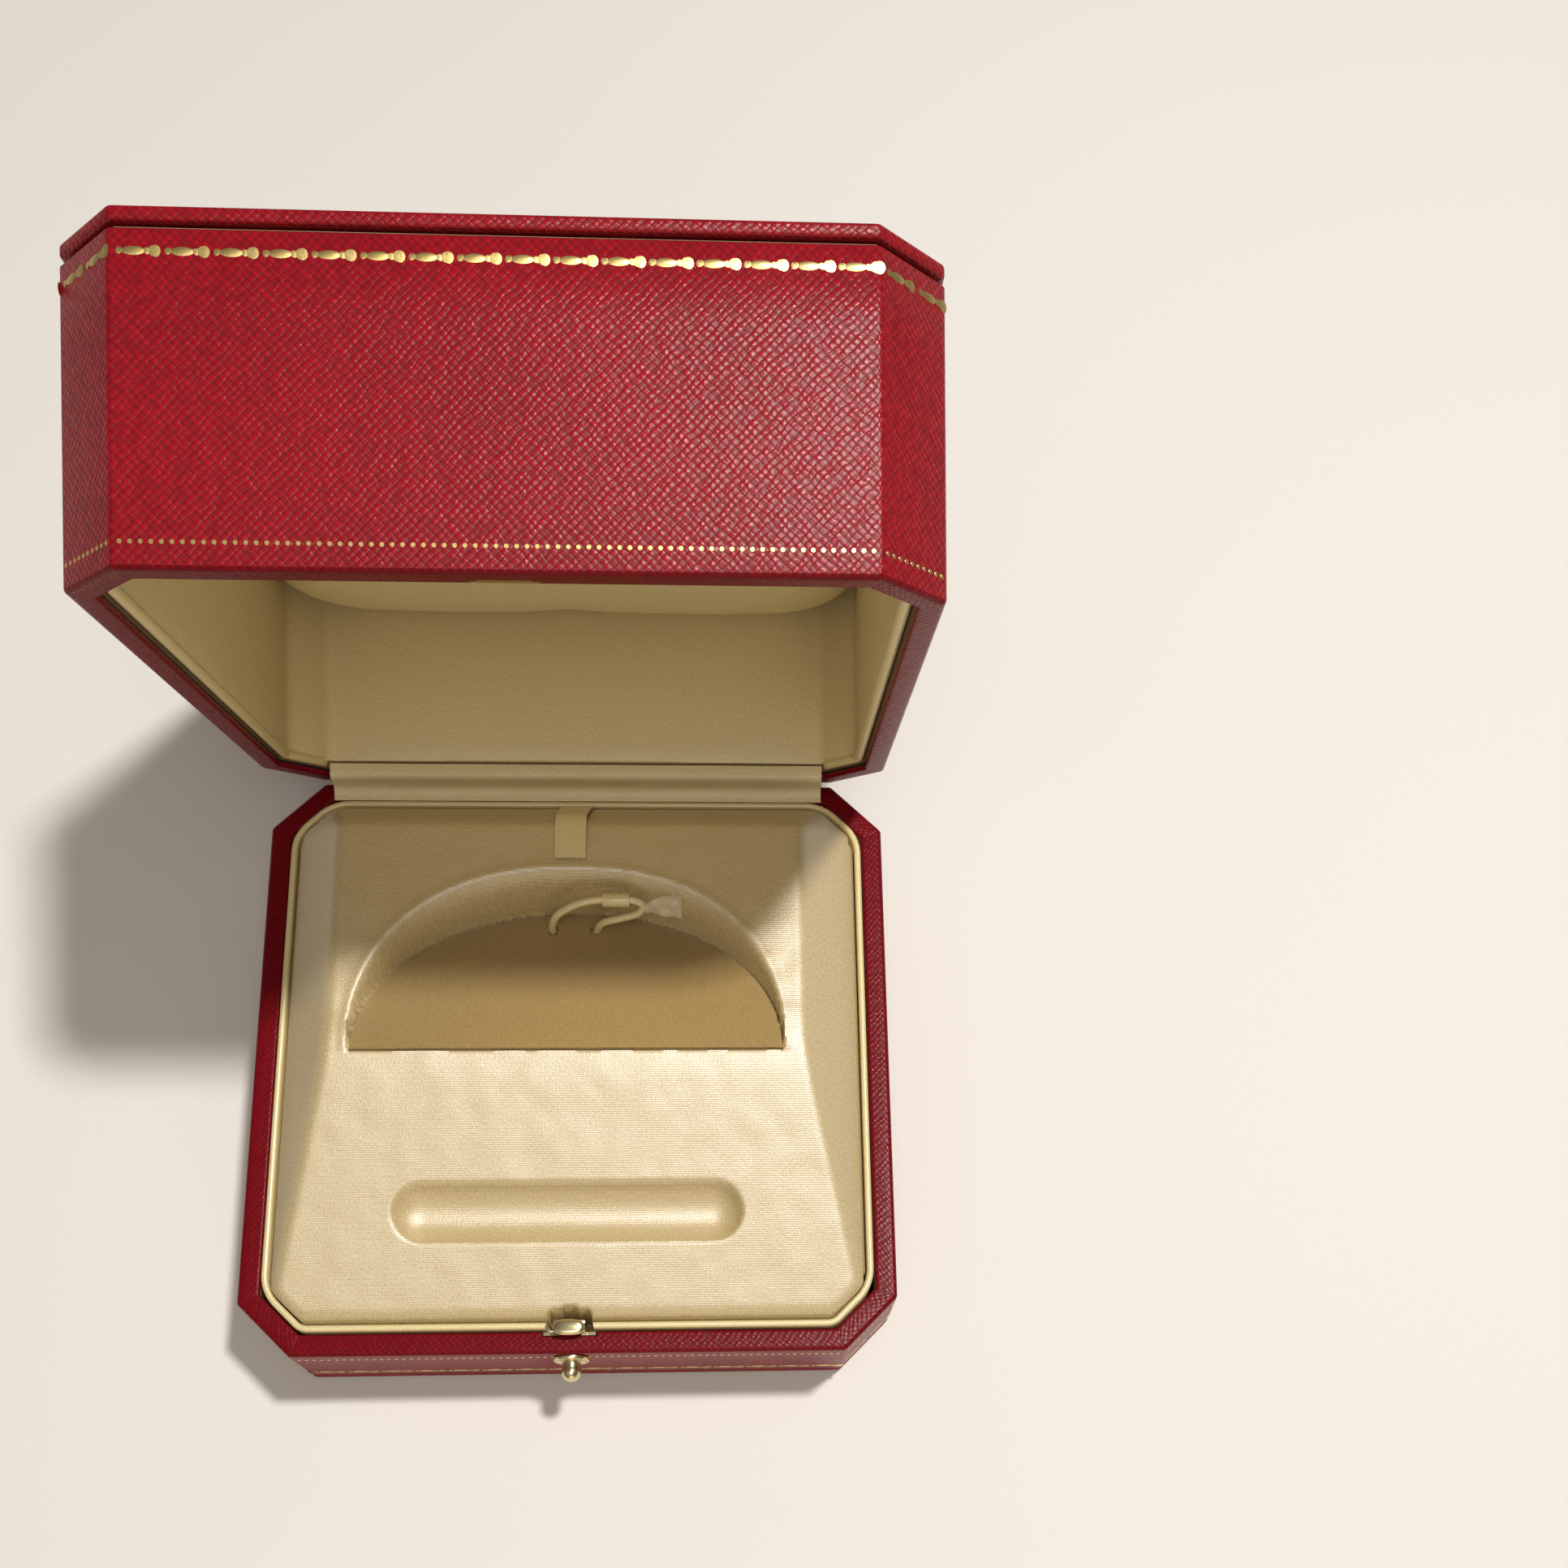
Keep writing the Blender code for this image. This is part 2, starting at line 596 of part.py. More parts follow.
def build_lid(pivot):
    rim_inset = CORE_INSET + CORE
    z = LID_BOTTOM
    walls = slab(octagon(CORE_INSET), z + LID_RIM_TURN + GAP, z + LID_WALL + GROOVE - GAP)
    shell = add("lid_core", walls, BOARD, pivot)
    ceiling = z + LID_WALL + GROOVE - GAP - LID_TOP
    cut(shell, slab(octagon(rim_inset), z - 1 * MM, ceiling), "lid_hollow", pivot)

    wrap = ring(
        [
            (WRAP, z + LID_WALL),
            (0.0, z + LID_WALL),
            (0.0, z + 0.8 * MM),
            (0.25 * MM, z + 0.25 * MM),
            (0.8 * MM, z),
            (rim_inset - 0.3 * MM, z),
            (rim_inset, z + 0.3 * MM),
            (rim_inset, z + LID_RIM_TURN),
            (WRAP, z + LID_RIM_TURN),
        ]
    )
    skin = add("lid_wrap", wrap, LEATHER, pivot)

    low = z + LID_WALL + GROOVE
    soft = 0.6 * MM
    panel = stack(
        [
            [(x, y, level) for x, y in octagon(inset)]
            for inset, level in (
                (0.3 * MM, low),
                (0.0, low + 0.3 * MM),
                (0.0, low + PANEL - soft),
                (0.2 * MM, low + PANEL - 0.2 * MM),
                (soft, low + PANEL),
            )
        ]
    )
    add("lid_top_panel", panel, LEATHER, pivot)

    lining_low = z + LINING_SET_BACK
    inner = LINER_INSET + LINER
    lining = add(
        "lid_lining",
        ring(
            [
                (LINER_INSET, lining_low + 0.3 * MM),
                (LINER_INSET, ceiling - GAP),
                (inner, ceiling - GAP),
                (inner, lining_low + 0.4 * MM),
                (inner - 0.4 * MM, lining_low),
                (LINER_INSET + 0.3 * MM, lining_low),
            ],
            lambda inset: rounded(octagon(inset), [2.5 * MM - (inset - LINER_INSET)] * 8, steps=3),
        ),
        SATIN,
        pivot,
        smooth=True,
    )
    back_low = (-STRIP_HALF - 0.4 * MM, BACK - 8 * MM, z)
    back_high = (STRIP_HALF + 0.4 * MM, BACK, z + 2.7 * MM)
    cut(lining, block(back_low, back_high), "gusset_room", pivot)

    card_top = ceiling - GAP
    card = rounded(octagon(inner + 0.4 * MM, 10 * MM), [16 * MM] * 8, steps=4)
    add("lid_ceiling_card", slab(card, card_top - 1.5 * MM, card_top), BOARD, pivot)
    pad_top = card_top - 1.5 * MM - GAP
    pad_low = z + 30.8 * MM
    pad = stack(
        [
            [(x, y, level) for x, y in rounded(octagon(inner + inset, 10 * MM - 0.5 * inset), [15 * MM] * 8)]
            for inset, level in (
                (0.4 * MM, pad_top),
                (0.4 * MM, pad_low + 2.0 * MM),
                (1.2 * MM, pad_low + 0.6 * MM),
                (3.5 * MM, pad_low),
            )
        ]
    )
    add("lid_ceiling_pad", pad, SATIN, pivot)

    for side in (-1, 1):
        cut(shell, hinge_pocket(side, 1), f"lid_core_hinge_pocket{side:+d}", pivot)
        cut(skin, hinge_pocket(side, 1), f"lid_wrap_hinge_pocket{side:+d}", pivot)
    build_strike(shell, skin, lining, pivot)


def build_strike(shell, skin, lining, pivot):
    z = LID_BOTTOM
    low = (-POCKET_HALF, FRONT + 1.7 * MM, z - 1 * MM)
    high = (POCKET_HALF, FRONT + 9 * MM, z + 9.3 * MM)
    for target, label in ((shell, "core"), (skin, "wrap"), (lining, "lining")):
        cut(target, block(low, high), f"strike_{label}_pocket", pivot)
    profile = [
        (FRONT + 2.0 * MM, z + 0.05 * MM),
        (FRONT + 3.7 * MM, z + 0.05 * MM),
        (FRONT + 3.7 * MM, z + 0.55 * MM),
        (FRONT + 2.6 * MM, z + 0.55 * MM),
        (FRONT + 2.6 * MM, z + 8.9 * MM),
        (FRONT + 2.0 * MM, z + 8.9 * MM),
    ]
    plate = stack([[(x, y, v) for y, v in profile] for x in (-4.8 * MM, 4.8 * MM)])
    strike = add("strike_plate", plate, BRASS, pivot)
    for name, x in (("strike_screw_left", -3.0 * MM), ("strike_screw_right", 3.0 * MM)):
        at = (x, FRONT + 2.9 * MM, z + 7.0 * MM)
        short = [
            (0, -0.6 * MM),
            (0.5 * MM, -0.6 * MM),
            (0.5 * MM, 0.0),
            (1.1 * MM, 0.0),
            (0.8 * MM, 0.4 * MM),
            (0, 0.4 * MM),
        ]
        add(name, turned(short, at, segments=12), BRASS, pivot)
        hole = turned(
            [(0, 0), (0.85 * MM, 0), (0.85 * MM, 2 * MM), (0, 2 * MM)],
            (x, FRONT + 1.5 * MM, z + 7.0 * MM),
            segments=10,
        )
        cut(strike, hole, f"{name}_hole", pivot)


def hinge_z(z, half):
    """Levels are given for the tub's leaf. The lid's is the same shape turned over."""
    return z if half < 0 else 2 * HINGE_Z - z


def knuckle_shape(x0, x1, half):
    """A knuckle with the arm that joins it to its leaf."""
    low = BASE_RIM - 1.6 * MM
    outline = [(BACK - 1.8 * MM, low)]
    for k in range(14):
        turn = math.radians(-60 + 20 * k)
        y, z = KNUCKLE_RADIUS * math.cos(turn), KNUCKLE_RADIUS * math.sin(turn)
        outline.append((HINGE_Y + y, HINGE_Z + z))
    outline.append((BACK - 1.8 * MM, low + LEAF))
    return stack([[(x, y, hinge_z(z, half)) for y, z in outline] for x in (x0, x1)])


def build_hinge(label, side, pivot):
    centre_x = side * HINGE_X
    reach = 2.5 * KNUCKLE + 0.6 * MM
    for name, half, spans, parent in (
        (f"hinge_leaf_base_{label}", -1, ((-2.5, -1.5), (1.5, 2.5)), None),
        (f"hinge_leaf_lid_{label}", 1, ((-1.5, -0.5), (0.5, 1.5)), pivot),
    ):
        levels = sorted(hinge_z(z, half) for z in (BASE_RIM - 1.6 * MM, BASE_RIM - 1.6 * MM + LEAF))
        low = (centre_x - reach, BACK - 4.2 * MM, levels[0])
        flat = block(low, (centre_x + reach, BACK - 1.5 * MM, levels[1]))
        plate = add(name, flat, STEEL, parent)
        for i, (a, b) in enumerate(spans):
            x0, x1 = centre_x + KNUCKLE * a + 0.15 * MM, centre_x + KNUCKLE * b - 0.15 * MM
            knuckle = add(f"{name}_knuckle{i}", knuckle_shape(x0, x1, half), STEEL, parent)
            knuckle.hide_render = True
            knuckle.display_type = "WIRE"
            joined = plate.modifiers.new(f"knuckle{i}", "BOOLEAN")
            joined.operation = "UNION"
            joined.solver = "EXACT"
            joined.object = knuckle
        bore = turned(
            [(0, 0), (0.62 * MM, 0), (0.62 * MM, 24 * MM), (0, 24 * MM)],
            (centre_x - 12 * MM, HINGE_Y, HINGE_Z),
            axis="X",
            segments=12,
        )
        cut(plate, bore, f"{name}_bore", parent)
    length = 5 * KNUCKLE
    add(
        f"hinge_pin_{label}",
        turned(
            [(0, 0), (HINGE_PIN_RADIUS, 0), (HINGE_PIN_RADIUS, length), (0, length)],
            (centre_x - length / 2, HINGE_Y, HINGE_Z),
            axis="X",
            segments=10,
        ),
        STEEL,
    )
    helix = coil(
        (centre_x - 0.5 * KNUCKLE, HINGE_Y, HINGE_Z),
        (centre_x + 0.5 * KNUCKLE, HINGE_Y, HINGE_Z),
        0.85 * MM,
        0.3 * MM,
        turns=4,
    )
    tube(f"hinge_spring_{label}", helix, 0.16 * MM, STEEL)


def in_lid(y, z):
    """Where a point of the shut lid stands while the lid is open."""
    turned_point = Matrix.Rotation(-LID_OPEN, 2) @ Vector((y - HINGE_Y, z - HINGE_Z))
    return (HINGE_Y + turned_point.x, HINGE_Z + turned_point.y)


def build_hinge_cloths():
    """The satin gusset inside and the leather spine outside, as they lie with the lid open."""
    gusset = [
        (BACK - 4.1 * MM, BASE_RIM + 0.6 * MM),
        (BACK - 3.0 * MM, BASE_RIM + 0.75 * MM),
        (BACK - 1.6 * MM, BASE_RIM + 1.4 * MM),
        in_lid(BACK - 1.9 * MM, LID_BOTTOM - 1.5 * MM),
        in_lid(BACK - 3.4 * MM, LID_BOTTOM - 0.75 * MM),
        in_lid(BACK - 4.9 * MM, LID_BOTTOM - 0.3 * MM),
        in_lid(BACK - 5.1 * MM, LID_BOTTOM + 2.2 * MM),
    ]
    add("hinge_gusset", strip(gusset, STRIP_HALF, 0.5 * MM), SATIN)
    out = 0.65 * MM
    spine = [
        (BACK + out, BASE_RIM - 9 * MM),
        (BACK + out, BASE_RIM - 3.0 * MM),
        (BACK + 1.5 * MM, BASE_RIM - 1.9 * MM),
        in_lid(BACK + 1.7 * MM, LID_BOTTOM + 1.9 * MM),
        in_lid(BACK + out, LID_BOTTOM + 3.2 * MM),
        in_lid(BACK + out, LID_BOTTOM + 9 * MM),
    ]
    add("hinge_spine", strip(spine, STRIP_HALF, 0.7 * MM), LEATHER)


def main():
    for obj in list(bpy.data.objects):
        bpy.data.objects.remove(obj, do_unlink=True)
    pivot = bpy.data.objects.new("lid_pivot", None)
    bpy.context.scene.collection.objects.link(pivot)
    pivot.location = (0, HINGE_Y, HINGE_Z)
    build_tub()
    build_insert()
    build_latch()
    build_lid(pivot)
    for label, side in (("left", -1), ("right", 1)):
        build_hinge(label, side, pivot)
    build_hinge_cloths()
    pivot.rotation_euler = (-LID_OPEN, 0, 0)


main()
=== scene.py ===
# Looks for an octagonal jewellery box: leather outside, satin inside, brass latch. Metres, +Z up.
import json
import math

import bmesh
import bpy
from mathutils import Matrix, Vector, noise


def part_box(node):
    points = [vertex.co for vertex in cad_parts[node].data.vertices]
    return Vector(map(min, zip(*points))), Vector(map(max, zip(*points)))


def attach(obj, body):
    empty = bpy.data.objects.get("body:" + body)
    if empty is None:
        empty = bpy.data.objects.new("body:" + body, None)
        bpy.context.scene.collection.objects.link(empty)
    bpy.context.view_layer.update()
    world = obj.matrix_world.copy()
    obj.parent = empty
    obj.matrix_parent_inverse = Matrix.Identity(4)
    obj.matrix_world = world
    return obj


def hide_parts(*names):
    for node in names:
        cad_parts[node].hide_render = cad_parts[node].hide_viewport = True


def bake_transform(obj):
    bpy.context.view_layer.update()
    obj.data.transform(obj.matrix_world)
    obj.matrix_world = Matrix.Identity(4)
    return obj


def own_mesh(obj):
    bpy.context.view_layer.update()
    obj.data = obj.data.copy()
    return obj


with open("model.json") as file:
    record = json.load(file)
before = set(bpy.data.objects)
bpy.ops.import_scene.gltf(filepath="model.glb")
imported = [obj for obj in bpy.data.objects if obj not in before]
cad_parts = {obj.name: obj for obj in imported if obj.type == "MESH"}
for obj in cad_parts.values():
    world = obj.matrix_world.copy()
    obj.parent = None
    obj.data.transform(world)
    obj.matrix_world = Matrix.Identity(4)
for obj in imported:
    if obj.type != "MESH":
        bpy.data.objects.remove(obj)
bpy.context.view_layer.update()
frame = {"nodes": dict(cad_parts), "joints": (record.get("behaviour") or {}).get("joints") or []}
scene = bpy.context.scene
mm = 0.001

# The whole box. Levels come from the model's own pieces.
box = {"width": 125 * mm, "depth": 120 * mm, "cornerCut": 10.25 * mm}
joints = {joint["name"]: joint for joint in frame["joints"]}
hinge = Vector(joints["lid_hinge"]["pos_m"])
openAngle = math.radians(joints["lid_hinge"]["range_deg"][1])
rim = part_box("base_wrap")[1][2]
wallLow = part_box("base_wrap")[0][2]
lidRim = 2 * hinge.z - rim
front = -box["depth"] / 2
back = box["depth"] / 2
openLid = Matrix.Translation(hinge) @ Matrix.Rotation(-openAngle, 4, "X") @ Matrix.Translation(-hinge)


def linear(hexColour):
    channels = [int(hexColour[i : i + 2], 16) / 255 for i in (1, 3, 5)]
    return (*[c / 12.92 if c <= 0.04045 else ((c + 0.055) / 1.055) ** 2.4 for c in channels], 1.0)


# Adds a node. Each value is a constant or a socket to link from.
def put(tree, kind, values=None, **settings):
    made = tree.nodes.new(kind)
    for key, value in settings.items():
        setattr(made, key, value)
    for key, value in (values or {}).items():
        if isinstance(value, bpy.types.NodeSocket):
            tree.links.new(value, made.inputs[key])
        else:
            made.inputs[key].default_value = value
    return made


def maths(tree, operation, a, b=0.0):
    return put(tree, "ShaderNodeMath", {0: a, 1: b}, operation=operation).outputs[0]


def blendColours(tree, amount, a, b):
    # The colours of a Mix node are its seventh and eighth inputs.
    return put(tree, "ShaderNodeMix", {"Factor": amount, 6: a, 7: b}, data_type="RGBA").outputs[2]


def newMaterial(name, constants):
    made = bpy.data.materials.new(name)
    made.use_nodes = True
    shader = made.node_tree.nodes["Principled BSDF"]
    for key, value in constants.items():
        shader.inputs[key].default_value = linear(value) if isinstance(value, str) else value
    return made, made.node_tree, shader


def millimetres(tree):
    return put(tree, "ShaderNodeUVMap", uv_map="surface").outputs["UV"]


# One set of parallel ridges, broken into strokes of uneven length and height.
def strokes(tree, across, along, drift, pitch, seed):
    phase = maths(tree, "ADD", maths(tree, "MULTIPLY", across, math.pi / (pitch * math.sqrt(2))), drift)
    ridge = maths(tree, "POWER", maths(tree, "ABSOLUTE", maths(tree, "SINE", phase)), 0.8)
    place = put(tree, "ShaderNodeCombineXYZ", {0: maths(tree, "MULTIPLY", across, 0.75 / pitch),
                                               1: maths(tree, "MULTIPLY", along, 0.30 / pitch), 2: seed})
    breaks = put(tree, "ShaderNodeTexNoise", {"Vector": place.outputs[0], "Scale": 1.0, "Detail": 1.0})
    mask = put(tree, "ShaderNodeMapRange", {0: breaks.outputs[0], 1: 0.38, 2: 0.60, 3: 0.40, 4: 1.0})
    return maths(tree, "MULTIPLY", ridge, mask.outputs[0])


# Cross-hatched leathercloth: pressed strokes at 45 degrees both ways under a thin lacquer.
def leatherMaterial(name, look):
    made, tree, shader = newMaterial(name, {"Specular IOR Level": look["shine"]})
    place = millimetres(tree)
    drift = put(tree, "ShaderNodeTexNoise", {"Vector": place, "Scale": 0.35, "Detail": 2.0})
    wander = maths(tree, "MULTIPLY", drift.outputs[0], 3.0)
    parts = put(tree, "ShaderNodeSeparateXYZ", {0: place})
    rising = maths(tree, "ADD", parts.outputs[0], parts.outputs[1])
    falling = maths(tree, "SUBTRACT", parts.outputs[0], parts.outputs[1])
    first = strokes(tree, rising, falling, wander, look["pitch"], 2.0)
    second = strokes(tree, falling, rising, wander, look["pitch"], 9.0)
    grain = maths(tree, "ADD", maths(tree, "MULTIPLY", maths(tree, "MAXIMUM", first, second), 0.45),
                  maths(tree, "MULTIPLY", maths(tree, "MINIMUM", first, second), 0.75))
    pores = put(tree, "ShaderNodeTexNoise", {"Vector": place, "Scale": 3.0, "Detail": 4.0, "Roughness": 0.65})
    height = maths(tree, "ADD", grain, maths(tree, "MULTIPLY", pores.outputs[0], 0.25))
    broad = put(tree, "ShaderNodeTexNoise", {"Vector": place, "Scale": 0.05, "Detail": 2.0})
    depth = maths(tree, "MULTIPLY", grain, maths(tree, "ADD", broad.outputs[0], 0.55))
    # The colour is darker in the grain valleys as painted shade, and that darkening is deeper or shallower in
    # broad random patches.
    tree.links.new(blendColours(tree, depth, linear(look["valleyShade"]), linear(look["face"])),
                   shader.inputs["Base Color"])
    tree.links.new(maths(tree, "SUBTRACT", look["roughness"], maths(tree, "MULTIPLY", grain, 0.14)),
                   shader.inputs["Roughness"])
    bump = put(tree, "ShaderNodeBump", {"Height": height, "Strength": look["bump"], "Distance": 0.17 * mm})
    tree.links.new(bump.outputs[0], shader.inputs["Normal"])
    return made


# Satin weave: fine floats across the cloth that stretch the highlight, with faint slubs.
def satinMaterial(name, look):
    made, tree, shader = newMaterial(name, {"Roughness": look["roughness"], "Anisotropic": 0.35,
                                            "IOR": look["ior"]})
    place = millimetres(tree)
    parts = put(tree, "ShaderNodeSeparateXYZ", {0: place})
    rib = maths(tree, "SINE", maths(tree, "MULTIPLY", parts.outputs[1], 2 * math.pi / 0.42))
    stretched = put(tree, "ShaderNodeVectorMath", {0: place, 1: (3.0, 1.7, 1.0)}, operation="MULTIPLY")
    slub = put(tree, "ShaderNodeTexNoise", {"Vector": stretched.outputs[0], "Scale": 1.0, "Detail": 4.0,
                                            "Roughness": 0.65})
    soft = put(tree, "ShaderNodeTexNoise", {"Vector": place, "Scale": 0.09, "Detail": 2.0})
    height = maths(tree, "ADD", maths(tree, "MULTIPLY", rib, 0.12), slub.outputs[0])
    bump = put(tree, "ShaderNodeBump", {"Height": height, "Strength": look["bump"], "Distance": 0.09 * mm})
    fold = put(tree, "ShaderNodeBump", {"Height": soft.outputs[0], "Strength": 0.15, "Distance": 1.2 * mm})
    tree.links.new(fold.outputs[0], bump.inputs["Normal"])
    tree.links.new(bump.outputs[0], shader.inputs["Normal"])
    # Painted sheen and shade: the colour runs from the shade colour to the face colour over the slubs, with a
    # faint rib stripe of the weave.
    paintedSheen = put(tree, "ShaderNodeMapRange", {0: slub.outputs[0], 1: 0.33, 2: 0.66, 3: 0.0, 4: 1.0})
    paintedSheenAndRib = maths(tree, "ADD", paintedSheen.outputs[0], maths(tree, "MULTIPLY", rib, 0.06))
    tree.links.new(blendColours(tree, paintedSheenAndRib, linear(look["shade"]), linear(look["face"])),
                   shader.inputs["Base Color"])
    tree.links.new(put(tree, "ShaderNodeTangent", direction_type="UV_MAP", uv_map="surface").outputs[0],
                   shader.inputs["Tangent"])
    return made


# A plain finish broken up by noise in the piece's own space. The scale is per metre.
def grainyMaterial(name, constants, scale, strength, distance, shade=None, stretch=None):
    made, tree, shader = newMaterial(name, constants)
    place = put(tree, "ShaderNodeTexCoord").outputs["Object"]
    if stretch:
        place = put(tree, "ShaderNodeVectorMath", {0: place, 1: stretch}, operation="MULTIPLY").outputs[0]
    grain = put(tree, "ShaderNodeTexNoise", {"Vector": place, "Scale": scale, "Detail": 4.0,
                                             "Roughness": 0.6})
    bump = put(tree, "ShaderNodeBump", {"Height": grain.outputs[0], "Strength": strength,
                                        "Distance": distance})
    tree.links.new(bump.outputs[0], shader.inputs["Normal"])
    if shade:
        face = tuple(shader.inputs["Base Color"].default_value)
        tree.links.new(blendColours(tree, grain.outputs[0], linear(shade), face), shader.inputs["Base Color"])
    return made


looks = {
    "leather": {"face": "#930D1C", "valleyShade": "#5E0712", "pitch": 0.95, "bump": 0.50, "roughness": 0.42,
                "shine": 0.24},
    "shadedRimLeather": {"face": "#720914", "valleyShade": "#57060F", "pitch": 0.95, "bump": 0.30, "roughness": 0.38,
                   "shine": 0.12},
    "satin": {"face": "#C6B284", "shade": "#A89260", "roughness": 0.43, "ior": 2.6, "bump": 0.80},
    "lightenedLidSatin": {"face": "#E4D5AB", "shade": "#CFBE8E", "roughness": 0.46, "ior": 1.7, "bump": 0.30},
    "collarSatin": {"face": "#DCCD9E", "shade": "#C6B37D", "roughness": 0.36, "ior": 1.9, "bump": 0.25},
}
# Leathercloth with a lacquered cross-hatched grain
leather = leatherMaterial("leathercloth", looks["leather"])
# The same cloth pulled smooth where it turns over the rims, coloured darker as painted shade
shadedRimLeather = leatherMaterial("leathercloth_rim_painted_shade", looks["shadedRimLeather"])
# Polyester satin over foam or card
satin = satinMaterial("champagne_satin", looks["satin"])
# The lid's copy of the champagne satin is paler: painted light on the shaded lid lining, ceiling and gusset.
lightenedLidSatin = satinMaterial("champagne_satin_lid_painted_light", looks["lightenedLidSatin"])
collarSatin = satinMaterial("cream_satin", looks["collarSatin"])
# Napped suedette, brushed one way
suede = grainyMaterial("suedette", {"Base Color": "#A98E56", "Roughness": 0.85, "Sheen Weight": 0.3},
                       1600, 0.8, 0.14 * mm, shade="#7E6535", stretch=(2.2, 0.7, 1.0))
# Gold foil pressed into the leathercloth
foil = grainyMaterial("gold_foil", {"Base Color": "#E6CB86", "Metallic": 1.0, "Roughness": 0.34},
                      3000, 0.35, 0.05 * mm)
# Pale polished brass, lightly handled
brass = grainyMaterial("polished_brass", {"Base Color": "#DCCFA4", "Metallic": 1.0, "Roughness": 0.22},
                       900, 0.10, 0.05 * mm)
# Zinc-plated steel
steel = grainyMaterial("plated_steel", {"Base Color": "#A9ABAE", "Metallic": 1.0, "Roughness": 0.35},
                       900, 0.1, 0.05 * mm)
# Grey-brown pressed board
board = grainyMaterial("pressed_board", {"Base Color": "#8A7355", "Roughness": 0.9},
                       1500, 0.6, 0.1 * mm, shade="#6F5B42")
# Dark flocked paper
paper = grainyMaterial("flocked_paper", {"Base Color": "#2B2022", "Roughness": 0.95}, 3000, 0.5, 0.1 * mm)
# Clear cast film
film = grainyMaterial("clear_film", {"Base Color": "#E9DFC4", "Roughness": 0.22, "Alpha": 0.36},
                      400, 0.15, 0.1 * mm)
print("materials ready")


# Turns a mesh into a piece that rides on a body and stands for CAD nodes.
def finishMesh(name, bm, material, body, replaced=(), lid=False, sharp=40, recalc=True):
    if recalc:
        bmesh.ops.recalc_face_normals(bm, faces=bm.faces[:])
    if lid:
        bmesh.ops.transform(bm, matrix=openLid, verts=bm.verts[:])
    mesh = bpy.data.meshes.new(name)
    bm.to_mesh(mesh)
    bm.free()
    mesh.materials.append(material)
    mesh.shade_smooth()
    mesh.set_sharp_from_angle(angle=math.radians(sharp))
    obj = bpy.data.objects.new(name, mesh)
    scene.collection.objects.link(obj)
    if body:
        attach(obj, body)
    if replaced:
        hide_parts(*replaced)
    return obj


# The mesh with each cutter's shape taken away.
def carved(bm, cutters):
    mesh = bpy.data.meshes.new("carving")
    bmesh.ops.recalc_face_normals(bm, faces=bm.faces[:])
    bm.to_mesh(mesh)
    bm.free()
    target = bpy.data.objects.new("carving", mesh)
    scene.collection.objects.link(target)
    helpers = []
    for cutter in cutters:
        bmesh.ops.recalc_face_normals(cutter, faces=cutter.faces[:])
        cutterMesh = bpy.data.meshes.new("cutter")
        cutter.to_mesh(cutterMesh)
        cutter.free()
        helper = bpy.data.objects.new("cutter", cutterMesh)
        scene.collection.objects.link(helper)
        modifier = target.modifiers.new("cut", "BOOLEAN")
        modifier.operation, modifier.solver, modifier.object = "DIFFERENCE", "EXACT", helper
        helpers.append(helper)
    bpy.context.view_layer.update()
    result = bpy.data.meshes.new_from_object(target.evaluated_get(bpy.context.evaluated_depsgraph_get()))
    for helper in [target, *helpers]:
        bpy.data.objects.remove(helper, do_unlink=True)
    bm = bmesh.new()
    bm.from_mesh(result)
    return bm


def brick(low, high):
    bm = bmesh.new()
    bmesh.ops.create_cube(bm, size=1.0)
    size = [b - a for a, b in zip(low, high)]
    centre = [(a + b) / 2 for a, b in zip(low, high)]
    bmesh.ops.transform(bm, matrix=Matrix.Translation(centre) @ Matrix.Diagonal((*size, 1.0)),
                        verts=bm.verts[:])
    return bm


# The rounded octagon, anticlockwise from the middle of the back, as (point, distance along it).
def boxOutline(inset, radius, arcSteps=5, runSteps=1, cut=None):
    x, y = box["width"] / 2 - inset, box["depth"] / 2 - inset
    c = cut or box["cornerCut"] - inset * (2 - math.sqrt(2))
    corners = [(-x + c, y), (-x, y - c), (-x, -y + c), (-x + c, -y), (x - c, -y), (x, -y + c), (x, y - c),
               (x - c, y)]
    corners = [Vector(p) for p in corners]
    points = [Vector((0.0, y))]
    for i, here in enumerate(corners):
        before = (corners[i - 1] - here).normalized()
        after = (corners[(i + 1) % 8] - here).normalized()
        half = before.angle(after) / 2
        r = max(radius(i) if callable(radius) else radius, 0.05 * mm)
        start, end = here + before * (r / math.tan(half)), here + after * (r / math.tan(half))
        centre = here + (before + after).normalized() * (r / math.sin(half))
        last = points[-1]
        points += [last.lerp(start, k / runSteps) for k in range(1, runSteps)]
        sweep = (end - centre).angle_signed(start - centre)
        points += [centre + Matrix.Rotation(sweep * k / arcSteps, 2) @ (start - centre)
                   for k in range(arcSteps + 1)]
    last = points[-1]
    points += [last.lerp(points[0], k / runSteps) for k in range(1, runSteps)]
    lengths = [0.0]
    for a, b in zip(points, points[1:] + points[:1]):
        lengths.append(lengths[-1] + (b - a).length)
    return points, lengths


